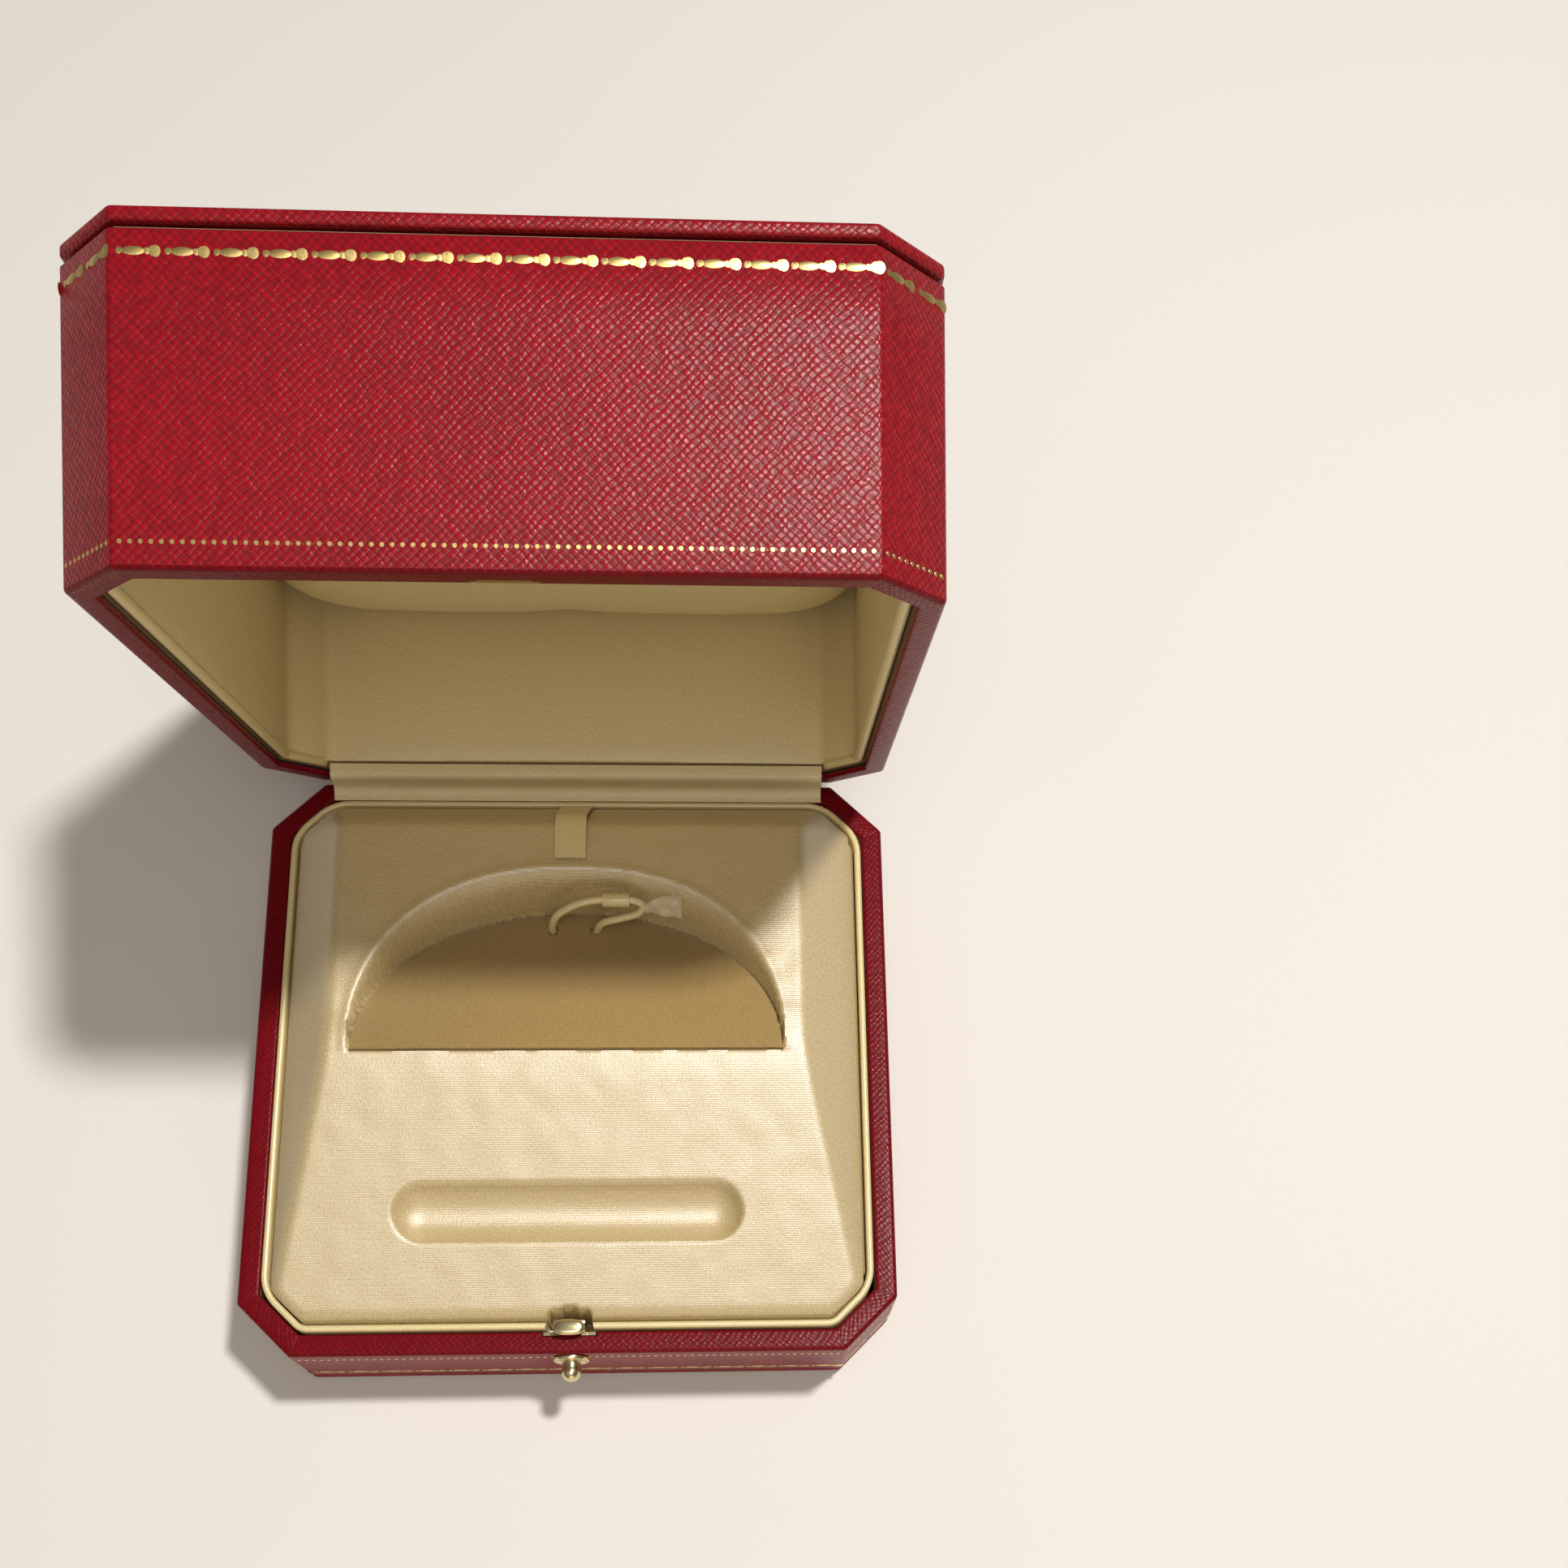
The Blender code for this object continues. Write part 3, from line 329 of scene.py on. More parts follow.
# A mesh from rows of points round the box, with a map in millimetres along and across the rows.
def lattice(rows, lengths, wrapRows=False, caps=False, wrapColumns=True):
    bm = bmesh.new()
    layer = bm.loops.layers.uv.new("surface")
    grid = [[bm.verts.new(p) for p in row] for row in rows]
    across = [0.0]
    middle = len(rows[0]) // 3
    for a, b in zip(rows, rows[1:] + rows[:1]):
        across.append(across[-1] + (Vector(b[middle]) - Vector(a[middle])).length)
    count = len(rows[0])
    for i in range(len(rows) if wrapRows else len(rows) - 1):
        for j in range(count if wrapColumns else count - 1):
            n = (j + 1) % count
            face = bm.faces.new((grid[i][j], grid[i][n], grid[(i + 1) % len(rows)][n],
                                 grid[(i + 1) % len(rows)][j]))
            marks = [(lengths[j], across[i]), (lengths[j + 1], across[i]),
                     (lengths[j + 1], across[i + 1]), (lengths[j], across[i + 1])]
            for corner, mark in zip(face.loops, marks):
                corner[layer].uv = (mark[0] / mm, mark[1] / mm)
    if caps:
        for row in (grid[0], grid[-1]):
            face = bm.faces.new(row)
            for corner in face.loops:
                corner[layer].uv = (corner.vert.co.x / mm, corner.vert.co.y / mm)
    return bm


# A closed (inset, height) profile carried round the box.
def swept(profile, radius, arcSteps=5):
    _, lengths = boxOutline(0.0, radius, arcSteps)
    rows = []
    for inset, z in profile:
        points, _ = boxOutline(inset, radius - min(inset, radius - 0.2 * mm), arcSteps)
        rows.append([(p.x, p.y, z) for p in points])
    return rows, lengths


# Points of an arc in (inset, height), from start to end degrees.
def arc(centre, radius, start, end, steps=5):
    found = []
    for k in range(steps + 1):
        turn = math.radians(start + (end - start) * k / steps)
        found.append((centre[0] + radius * math.cos(turn), centre[1] + radius * math.sin(turn)))
    return found


# A (radius, distance along) profile turned round an axis through the centre.
def turned(profile, centre, axis="Y", segments=64):
    bm = bmesh.new()
    verts = [bm.verts.new((radius, 0.0, along)) for radius, along in profile]
    edges = [bm.edges.new(pair) for pair in zip(verts, verts[1:])]
    if profile[0][0] > 0:
        edges.append(bm.edges.new((verts[-1], verts[0])))
    bmesh.ops.spin(bm, geom=edges, cent=(0, 0, 0), axis=(0, 0, 1), angle=2 * math.pi, steps=segments,
                   use_merge=True)
    bmesh.ops.remove_doubles(bm, verts=bm.verts[:], dist=0.0005 * mm)
    turn = {"Y": Matrix.Rotation(-math.pi / 2, 4, "X"), "X": Matrix.Rotation(math.pi / 2, 4, "Y"),
            "Z": Matrix()}[axis]
    bmesh.ops.transform(bm, matrix=Matrix.Translation(centre) @ turn, verts=bm.verts[:])
    return bm


# A map in millimetres seen from above, for a piece whose finish needs one.
def mapFlat(bm):
    layer = bm.loops.layers.uv.get("surface") or bm.loops.layers.uv.new("surface")
    for face in bm.faces:
        for corner in face.loops:
            corner[layer].uv = (corner.vert.co.x / mm, corner.vert.co.y / mm)


# A cord through the points, with a map along its length.
def tubeAlong(points, radius, sides=12):
    bm = bmesh.new()
    layer = bm.loops.layers.uv.new("surface")
    rows, length, lengths = [], 0.0, []
    up = Vector((0, 0, 1))
    for i, point in enumerate(points):
        here = Vector(point)
        ahead = Vector(points[min(i + 1, len(points) - 1)]) - Vector(points[max(i - 1, 0)])
        ahead.normalize()
        side = ahead.cross(up).normalized() if abs(ahead.z) < 0.98 else Vector((1, 0, 0))
        up = side.cross(ahead).normalized()
        rows.append([
            bm.verts.new(here + side * (radius * math.cos(2 * math.pi * k / sides))
                         + up * (radius * math.sin(2 * math.pi * k / sides)))
            for k in range(sides)
        ])
        length += (here - Vector(points[i - 1])).length if i else 0.0
        lengths.append(length / mm)
    for i in range(len(rows) - 1):
        for k in range(sides):
            n = (k + 1) % sides
            face = bm.faces.new((rows[i][k], rows[i][n], rows[i + 1][n], rows[i + 1][k]))
            for corner, mark in zip(face.loops, ((k, i), (k + 1, i), (k + 1, i + 1), (k, i + 1))):
                corner[layer].uv = (mark[0] * 2 * math.pi * radius / sides / mm, lengths[mark[1]])
    bm.faces.new(rows[0])
    bm.faces.new(rows[-1])
    return bm


# The vertices round the border of a grid, in order.
def borderOf(grid):
    return grid[0] + [row[-1] for row in grid[1:-1]] + grid[-1][::-1] + [row[0] for row in grid[1:-1]][::-1]


# Joins closed rings of vertices into a capped shape.
def joinRings(bm, rings):
    for a, b in zip(rings, rings[1:]):
        for i in range(len(a)):
            bm.faces.new((a[i - 1], a[i], b[i], b[i - 1]))
    bm.faces.new(rings[0])
    bm.faces.new(rings[-1])


# Catmull-Rom curve through the points.
def smoothRoute(points, perSpan):
    route = []
    padded = [points[0], *points, points[-1]]
    for a, b, c, d in zip(padded, padded[1:], padded[2:], padded[3:]):
        a, b, c, d = Vector(a), Vector(b), Vector(c), Vector(d)
        for k in range(perSpan):
            t = k / perSpan
            route.append(0.5 * (2 * b + (c - a) * t + (2 * a - 5 * b + 4 * c - d) * t**2
                                + (3 * b - a - 3 * c + d) * t**3))
    return route + [Vector(points[-1])]


# The lowest of the values, rounded over where two are close.
def smoothLowest(values, soft):
    low = values[0]
    for value in values[1:]:
        h = max(soft - abs(low - value), 0.0) / soft
        low = min(low, value) - h * h * soft / 4
    return low


tooling = {"dotDrop": 3.8 * mm, "dotPitch": 1.4 * mm, "dot": 0.40 * mm, "bandPitch": 6.7 * mm,
           "proud": 0.05 * mm,
           "tubBandDrop": 16.5 * mm, "lidBandRise": 42.8 * mm}


# One small domed foil shape on a wall. Its outline is in (along, up).
def pressFoil(bm, outline, origin, along, up, outward):
    ring = [bm.verts.new(origin + along * a + up * b - outward * 0.03 * mm) for a, b in outline]
    crown = [bm.verts.new(origin + along * a * 0.8 + up * b * 0.8 + outward * tooling["proud"]) for a,
             b in outline]
    for i in range(len(ring)):
        bm.faces.new((ring[i - 1], ring[i], crown[i], crown[i - 1]))
    bm.faces.new(crown)
    bm.faces.new(ring[::-1])


def ellipse(a, b, shiftAlong=0.0, shiftUp=0.0, sides=10):
    turn = 2 * math.pi / sides
    return [(shiftAlong + a * math.cos(turn * k), shiftUp + b * math.sin(turn * k)) for k in range(sides)]


# Shapes repeated along all eight walls at one level.
def toolLine(bm, level, pitch, shapes, margin):
    corners, _ = boxOutline(0.0, 0.01 * mm, arcSteps=1)
    flat = [corners[i] for i in range(1, len(corners), 2)]
    for i, start in enumerate(flat):
        end = flat[(i + 1) % 8]
        span = (end - start).length - 2 * margin
        along = Vector((*(end - start).normalized(), 0.0))
        outward = along.cross(Vector((0, 0, 1)))
        if outward.dot(Vector((*start, 0.0)) + along * span / 2) < 0:
            outward = -outward
        count = max(1, round(span / pitch))
        for k in range(count):
            middle = Vector((*start, level)) + along * (margin + span * (k + 0.5) / count)
            for shape in shapes:
                pressFoil(bm, shape, middle, along, Vector((0, 0, 1)), outward)


dots = [ellipse(tooling["dot"], tooling["dot"], sides=8)]
# Bead-and-reel: a long reel with a bead each side of it, and a larger bead between repeats.
beadAndReel = [ellipse(1.75 * mm, 0.68 * mm, sides=16), ellipse(0.44 * mm, 0.55 * mm, 2.18 * mm),
               ellipse(0.44 * mm, 0.55 * mm, -2.18 * mm), ellipse(0.76 * mm, 0.92 * mm, 3.35 * mm, sides=16)]
base = bmesh.new()
toolLine(base, rim - tooling["dotDrop"], tooling["dotPitch"], dots, 0.5 * mm)
toolLine(base, rim - tooling["tubBandDrop"], tooling["bandPitch"], beadAndReel, 0.2 * mm)
finishMesh("base_gold_tooling", base, foil, "tub", recalc=False)
lid = bmesh.new()
toolLine(lid, lidRim + tooling["dotDrop"], tooling["dotPitch"], dots, 0.5 * mm)
toolLine(lid, lidRim + tooling["lidBandRise"], tooling["bandPitch"], beadAndReel, 0.2 * mm)
finishMesh("lid_gold_tooling", lid, foil, "lid", lid=True, recalc=False)
print("gold tooling ready")


skin = {"corner": 1.3 * mm, "rimWidth": 4.2 * mm, "thick": 0.9 * mm, "edge": 0.9 * mm, "lidWall": 46 * mm}
latch = {"half": 5.2 * mm, "nose": 3.8 * mm,
         "pinZ": (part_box("push_button")[0][2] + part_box("push_button")[1][2]) / 2}


# Gives the faces that lie on the rim the smoother finish, whose darker colour is painted shade.
def smoothRim(obj, level, lid=False):
    mesh = obj.data
    mesh.materials.append(shadedRimLeather)
    turn = openLid.inverted() if lid else Matrix()
    for face in mesh.polygons:
        centre = turn @ face.center
        if abs(centre.z - level) < 0.75 * mm:
            face.material_index = 1


# Leather from the groove round the rim. side is 1 where the rim is on top and -1 where it is below.
def wallProfile(low, level, side):
    edge, width = skin["edge"], skin["rimWidth"]
    points = [(skin["thick"], low), (0.3 * mm, low), (0.0, low + side * 0.3 * mm)]
    points += [(0.0, low + (level - low) * t) for t in (0.25, 0.5, 0.75)]
    for inset, drop in arc((edge, edge), edge, 180, 270, 6):
        points.append((inset, level - side * drop))
    points += [(width * 0.5, level), (width - 0.9 * mm, level - side * 0.06 * mm)]
    for inset, drop in arc((width - 0.55 * mm, 0.55 * mm + 0.06 * mm), 0.55 * mm, -90, 0, 4):
        points.append((inset, level - side * drop))
    points += [(width, level - side * skin["thick"]), (skin["thick"], level - side * skin["thick"])]
    return points


rows, lengths = swept(wallProfile(wallLow, rim, 1), skin["corner"])
shell = lattice(rows, lengths, wrapRows=True)
hole = turned([(0, front - 1 * mm), (2.15 * mm, front - 1 * mm), (2.15 * mm, front + 2 * mm),
               (0, front + 2 * mm)], (0, 0, latch["pinZ"]), segments=48)
shell = carved(shell, [hole, brick((-latch["half"], front + 3.25 * mm, rim - 2 * mm),
                                   (latch["half"], front + 6 * mm, rim + 1 * mm))])
smoothRim(finishMesh("base_leather", shell, leather, "tub", ["base_wrap"], sharp=50), rim)

lidTop = lidRim + skin["lidWall"]
rows, lengths = swept(wallProfile(lidTop, lidRim, -1), skin["corner"])
shell = lattice(rows, lengths, wrapRows=True)
shell = carved(shell, [brick((-latch["nose"], front + 2.6 * mm, lidRim - 1 * mm),
                             (latch["nose"], front + 9 * mm, lidRim + 3 * mm))])
smoothRim(finishMesh("lid_leather", shell, leather, "lid", ["lid_wrap"], lid=True, sharp=50),
          lidRim, lid=True)


# A leather-covered panel with soft edges.
def panelPiece(name, node, low, thick, edge, lid, body):
    profile = []
    for inset, z in arc((edge, edge), edge, 270, 180, 4):
        profile.append((inset, low + z))
    for inset, z in arc((edge, thick - edge), edge, 180, 90, 4):
        profile.append((inset, low + z))
    rows, lengths = swept(profile, skin["corner"])
    bm = lattice(rows, lengths, caps=True)
    finishMesh(name, bm, leather, body, [node], lid=lid, sharp=50)


panels = {"thick": 2.2 * mm, "lidEdge": 0.7 * mm, "tubEdge": 0.6 * mm, "groove": 0.9 * mm}
panelPiece("base_panel_leather", "base_foot_panel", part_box("base_foot_panel")[0][2], panels["thick"],
           panels["tubEdge"], False, "tub")
panelPiece("lid_panel_leather", "lid_top_panel", lidTop + panels["groove"], panels["thick"],
           panels["lidEdge"], True, "lid")
print("leather ready")


collar = {"outer": 4.5 * mm, "inner": 5.8 * mm, "proud": 1.15 * mm, "notch": 4.6 * mm,
          "round": 0.65 * mm, "deep": 12 * mm}


# Radius of each corner of the outline, which starts at the back left.
def softCorner(outerRadius, frontRadius):
    return lambda i: frontRadius if i in (3, 4) else outerRadius


profile = [(collar["outer"], rim - collar["deep"]),
           (collar["outer"], rim + collar["proud"] - collar["round"])]
for inset, z in arc((collar["outer"] + collar["round"], rim + collar["proud"] - collar["round"]),
                    collar["round"], 180, 0, 8)[1:]:
    profile.append((inset, z))
profile.append((collar["inner"], rim - collar["deep"]))
rows = []
for inset, z in profile:
    shrink = inset - collar["outer"]
    points, lengths = boxOutline(inset, softCorner(9 * mm - shrink, 4 * mm - shrink), 8, 3)
    rows.append([(p.x, p.y, z) for p in points])
shell = carved(lattice(rows, lengths, wrapRows=True), [
    turned([(0, -8 * mm), (collar["notch"], -8 * mm), (collar["notch"], 8 * mm), (0, 8 * mm)],
           (0, front + 4.2 * mm, rim + 1 * mm), axis="Z", segments=48)
])
finishMesh("collar_satin", shell, collarSatin, "tub", ["base_collar"], sharp=60)
print("collar ready")


pad = {
    "inset": 6.1 * mm,
    "edge": rim + 1.1 * mm,
    "top": rim + 16.5 * mm,
    "ridge": -5.0 * mm,
    "flank": 1.36,
    "roll": 2.2 * mm,
    "lip": 0.28 * mm,
    "recessHalf": 41.0 * mm,
    "browReach": 37.4 * mm,
    "footReach": 32.5 * mm,
    "floor": rim + 15.9 * mm,
    "floorSlope": 0.30,
    "troughY": -34.9 * mm,
    "troughHalf": 27.3 * mm,
    "troughRadius": 5.8 * mm,
    "troughDepth": 4.0 * mm,
    "cells": (214, 206),
    "clothUnderFloor": 1.1 * mm,
    "ripple": 0.10 * mm,
    "pucker": 0.05 * mm,
    "puckers": 46,
    "hookNotch": (3.9 * mm, 2.1 * mm),
    "tabNotch": (3.6 * mm, 52.6 * mm),
    "bottom": 7.9 * mm,
}
padX = box["width"] / 2 - pad["inset"]
padY = box["depth"] / 2 - pad["inset"]
padCut = box["cornerCut"] - pad["inset"] * (2 - math.sqrt(2))
padRamp = (pad["top"] - pad["edge"] - 0.4 * mm) / (pad["ridge"] + padY)
troughRim = pad["top"] + padRamp * (pad["troughY"] - pad["ridge"])
troughLevel = troughRim + pad["troughRadius"] - pad["troughDepth"]


# Half the pad's width at this depth, with its back corners rounded.
def padHalfWidth(y):
    over = abs(y) - (padY - padCut)
    if over <= -2 * mm:
        return padX
    return smoothLowest([padX, padX - max(over, 0.0)], 2.0 * mm if y < 0 else 4.0 * mm)


# How far a point is inside the recess: (inside its brow, inside its foot), both 1 on the outline.
def recessShape(x, y):
    up = y - pad["ridge"]
    if up <= 0:
        return 9.0, 9.0
    brow = ((abs(x) / pad["recessHalf"]) ** 2.3 + (up / pad["browReach"]) ** 2.3) ** (1 / 2.3)
    foot = ((abs(x) / pad["recessHalf"]) ** 2.1 + (up / pad["footReach"]) ** 2.1) ** (1 / 2.1)
    return brow, foot


def padHeight(x, y):
    edgeGap = min(padX - abs(x), padY - abs(y), (padX + padY - padCut - abs(x) - abs(y)) / math.sqrt(2))
    planes = [
        pad["top"] + padRamp * (y - pad["ridge"]) if y < pad["ridge"] + 6 * mm else pad["top"] + 2 * mm,
        pad["top"],
        pad["edge"] + pad["flank"] * (padX - abs(x)),
        pad["edge"] + pad["flank"] * (padY - y),
        pad["edge"] - 0.2 * mm + 1.3 * (padY + y),
    ]
    if y > 0:
        planes.append(pad["edge"] + pad["flank"] * (padX + padY - padCut - abs(x) - y) * 0.707)
    z = smoothLowest(planes, pad["roll"])
    # Cloth drawn tight over the edges shows fine puckers that fade inwards.
    ripple = noise.noise(Vector((x / mm * 0.22, y / mm * 0.22, 3.7)))
    z += ripple * pad["ripple"]
    brow, foot = recessShape(x, y)
    if brow < 1.12 and y > pad["ridge"]:
        z += pad["lip"] * math.exp(-(((brow - 1.012) / 0.022) ** 2))
        fan = math.atan2(y - pad["ridge"], x)
        fade = max(0.0, 1 - abs(brow - 1.0) / 0.12)
        z += pad["pucker"] * fade * math.sin(fan * pad["puckers"] + 3 * noise.noise(Vector((fan * 4, 0, 1))))
    if brow < 1:
        floor = pad["floor"] - pad["clothUnderFloor"] - pad["floorSlope"] * (y - pad["ridge"])
        if foot <= 1:
            z = floor
        else:
            t = (foot - 1) / ((foot - 1) + (1 - brow))
            z = floor + (z - floor) * (1 - (1 - t) ** 1.7)
    reach = math.hypot(max(abs(x) - pad["troughHalf"], 0.0), y - pad["troughY"])
    if reach < pad["troughRadius"] + 2 * mm:
        if reach < pad["troughRadius"] * 0.97:
            dip = troughLevel - math.sqrt(pad["troughRadius"] ** 2 - reach**2)
        else:
            dip = troughLevel - 0.243 * pad["troughRadius"] + (reach - 0.97 * pad["troughRadius"]) * 4
        z = smoothLowest([z, dip], 0.9 * mm)
    # The edge rolls down into the gap beside the collar.
    if edgeGap < pad["roll"]:
        short = 1 - max(edgeGap, 0.0) / pad["roll"]
        z -= pad["roll"] * (1 - math.sqrt(max(0.0, 1 - short**2))) * 0.6
    notchX, notchY = pad["hookNotch"]
    if (x / notchX) ** 4 + ((y + padY) / notchY) ** 4 < 1:
        z = 13 * mm
    if abs(x) < pad["tabNotch"][0] and y > pad["tabNotch"][1]:
        z = min(z, pad["edge"] - 4 * mm)
    return z


bm = bmesh.new()
columns, lines = pad["cells"]
grid = []
for i in range(lines + 1):
    y = -padY + 2 * padY * i / lines
    half = padHalfWidth(y)
    grid.append([])
    for j in range(columns + 1):
        x = -half + 2 * half * j / columns
        grid[-1].append(bm.verts.new((x, y, padHeight(x, y))))
for i in range(lines):
    for j in range(columns):
        bm.faces.new((grid[i][j], grid[i][j + 1], grid[i + 1][j + 1], grid[i + 1][j]))
ring = borderOf(grid)
skirt = [bm.verts.new((v.co.x, v.co.y, pad["bottom"])) for v in ring]
for i in range(len(ring)):
    bm.faces.new((ring[i - 1], ring[i], skirt[i], skirt[i - 1]))
bm.faces.new(skirt)
mapFlat(bm)
padPiece = finishMesh("pad_satin", bm, satin, "tub", ["display_pad"], sharp=75)
print("display pad ready")


recessFloor = {"thick": 0.8 * mm, "inset": 0.35 * mm, "slit": 0.85 * mm, "slitX": 4.0 * mm,
               "slitY": 23.2 * mm}
outline = []
for k in range(73):
    c, s = math.cos(math.pi * k / 72), math.sin(math.pi * k / 72)
    x = math.copysign(abs(c) ** (2 / 2.1), c) * (pad["recessHalf"] - recessFloor["inset"])
    reach = pad["footReach"] - 2 * recessFloor["inset"]
    y = pad["ridge"] + recessFloor["inset"] + abs(s) ** (2 / 2.1) * reach
    outline.append((x, y, pad["floor"] - pad["floorSlope"] * (y - pad["ridge"])))
bm = bmesh.new()
rows = [[bm.verts.new((x, y, z - drop)) for x, y, z in outline] for drop in (recessFloor["thick"], 0.15 * mm)]
rows.append([bm.verts.new((x * 0.996, y * 0.994 + 0.03 * mm, z)) for x, y, z in outline])
joinRings(bm, rows)
slits = []
for x in (-recessFloor["slitX"], recessFloor["slitX"]):
    reach = recessFloor["slit"]
    slits.append(brick((x - reach, recessFloor["slitY"] - reach, rim),
                       (x + reach, recessFloor["slitY"] + reach, rim + 20 * mm)))
finishMesh("recess_suede", carved(bm, slits), suede, "tub", ["recess_floor"], sharp=50)

strap = {
    "radius": 0.75 * mm,
    "route": [
        (-4.0, 23.2, 5.4), (-3.9, 23.4, 9.9), (-2.4, 24.4, 12.7), (1.4, 25.6, 14.6), (5.2, 26.2, 15.1),
        (8.8, 26.2, 15.1), (12.2, 26.2, 14.9), (14.0, 25.6, 13.8), (12.8, 24.6, 12.4), (9.4, 24.0, 11.5),
        (5.8, 23.6, 10.1), (4.0, 23.2, 5.4),
    ],
}
route = smoothRoute([(x * mm, y * mm, rim + z * mm) for x, y, z in strap["route"]], 6)
finishMesh("strap_cord", tubeAlong(route, strap["radius"], 12), collarSatin, "tub", ["bangle_strap"])
low, high = (Vector(corner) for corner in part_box("strap_sleeve"))
middle = (low + high) / 2
half = (high.x - low.x) / 2
sleeve = turned([(0.85 * mm, -half), (1.25 * mm, -half), (1.35 * mm, -half + 0.25 * mm),
                 (1.35 * mm, half - 0.25 * mm), (1.25 * mm, half), (0.85 * mm, half)],
                middle, axis="X", segments=32)
mapFlat(sleeve)
finishMesh("strap_sleeve_piece", sleeve, collarSatin, "tub", ["strap_sleeve"])

# A crumpled scrap of clear film knotted round the strap
tie = {"length": 7.2 * mm, "width": 5.6 * mm, "thick": 0.10 * mm, "crumple": 0.8 * mm, "cells": (18, 12)}
low, high = (Vector(corner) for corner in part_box("strap_tie"))
middle = (low + high) / 2 + Vector((0.6 * mm, 0, 1.0 * mm))
bm = bmesh.new()
sheets = []
for side in (0, 1):
    sheets.append([])
    for i in range(tie["cells"][1] + 1):
        sheets[-1].append([])
        for j in range(tie["cells"][0] + 1):
            u, v = j / tie["cells"][0], i / tie["cells"][1]
            spread = 0.35 + 0.65 * u
            x = (u - 0.5) * tie["length"]
            y = (v - 0.5) * tie["width"] * spread + 0.8 * mm * u
            z = tie["crumple"] * noise.noise(Vector((x / mm * 0.5, y / mm * 0.6, 0.4))) + side * tie["thick"]
            sheets[-1][-1].append(bm.verts.new(middle + Vector((x, y, z))))
for side in (0, 1):
    for i in range(tie["cells"][1]):
        for j in range(tie["cells"][0]):
            grid = sheets[side]
            bm.faces.new((grid[i][j], grid[i][j + 1], grid[i + 1][j + 1], grid[i + 1][j]))
borders = [borderOf(sheet) for sheet in sheets]
for i in range(len(borders[0])):
    bm.faces.new((borders[0][i - 1], borders[0][i], borders[1][i], borders[1][i - 1]))
finishMesh("strap_tie_film", bm, film, "tub", ["strap_tie"], sharp=80)


# A flat band along a (y, z) path. Its edges run along the path.
def ribbon(path, half, thick, wave=0.0):
    rows = []
    for side in (1, -1):
        for i, point in enumerate(path):
            here = Vector(point)
            ahead = Vector(path[min(i + 1, len(path) - 1)]) - Vector(path[max(i - 1, 0)])
            ahead.normalize()
            lift = Vector((-ahead.y, ahead.x)) * (side * thick / 2)
            rows.append(here + lift)
    count = len(path)
    section = rows[:count] + rows[count:][::-1]
    steps = 14
    lines = []
    for p in section:
        lines.append([(half * (2 * k / steps - 1), p.x, p.y + wave * math.sin(k * 1.9))
                      for k in range(steps + 1)])
    lengths = [2 * half * k / steps for k in range(steps + 2)]
    bm = lattice(lines, lengths, wrapRows=True, wrapColumns=False)
    for side in (0, steps):
        edge = [v for v in bm.verts if abs(v.co.x - (half * (2 * side / steps - 1))) < 1e-9]
        border = [e for e in bm.edges if e.verts[0] in edge and e.verts[1] in edge]
        bmesh.ops.contextual_create(bm, geom=border)
    return bm


tab = {"half": 3.0 * mm, "thick": 0.35 * mm}
tabPath = smoothRoute([
    (0, 53.4 * mm, rim - 3 * mm), (0, 53.4 * mm, rim + 1.6 * mm), (0, 52.4 * mm, rim + 4.0 * mm),
    (0, 45.2 * mm, rim + 14.6 * mm), (0, 43.0 * mm, rim + 16.9 * mm), (0, 39.5 * mm, rim + 17.3 * mm),
    (0, 34.3 * mm, rim + 17.0 * mm)], 5)
finishMesh("tab_ribbon", ribbon([(p.y, p.z) for p in tabPath], tab["half"], tab["thick"], 0.05 * mm),
           collarSatin, "tub", ["pull_tab"], sharp=60)
print("strap and tab ready")


lining = {"outer": 4.5 * mm, "inner": 5.9 * mm, "bulge": 0.6 * mm, "seam": 2.6 * mm, "depth": 44.2 * mm}
strikeRoom = ((-latch["half"], front + 1.9 * mm, lidRim), (latch["half"], front + 9 * mm, lidRim + 9.3 * mm))


def liningRows():
    outline, lengths = boxOutline(lining["inner"], 3.6 * mm, 8, 12)
    corners, _ = boxOutline(lining["inner"], 0.01 * mm, arcSteps=1)
    seams = [corners[i] for i in range(1, len(corners), 2)]
    outer, _ = boxOutline(lining["outer"], 4.0 * mm, 8, 12)
    rows = [[(p.x, p.y, lidRim + 2.6 * mm) for p in outer],
            [(p.x, p.y, lidRim + lining["depth"]) for p in outer],
            [(p.x, p.y, lidRim + lining["depth"]) for p in outline]]
    levels = [lining["depth"] - 3 * mm - (lining["depth"] - 6 * mm) * k / 14 for k in range(15)]
    for level in levels:
        row = []
        for p in outline:
            gap = min((p - seam).length for seam in seams)
            push = lining["bulge"] * (1 - math.exp(-gap / (7 * mm)))
            push -= 0.12 * mm * math.exp(-((gap / lining["seam"]) ** 2))
            push += 0.15 * mm * noise.noise(Vector((p.x / mm * 0.07, p.y / mm * 0.07, level / mm * 0.02)))
            push *= math.sin(math.pi * min(1.0, (level + 4 * mm) / lining["depth"])) ** 0.5
            inward = -p.normalized()
            row.append((p.x + inward.x * push, p.y + inward.y * push, lidRim + level))
        rows.append(row)
    for inset, level in ((lining["inner"], 2.0 * mm), (lining["outer"], 2.0 * mm)):
        points, _ = boxOutline(inset, 3.6 * mm, 8, 12)
        rows.append([(p.x, p.y, lidRim + level) for p in points])
    return rows, lengths


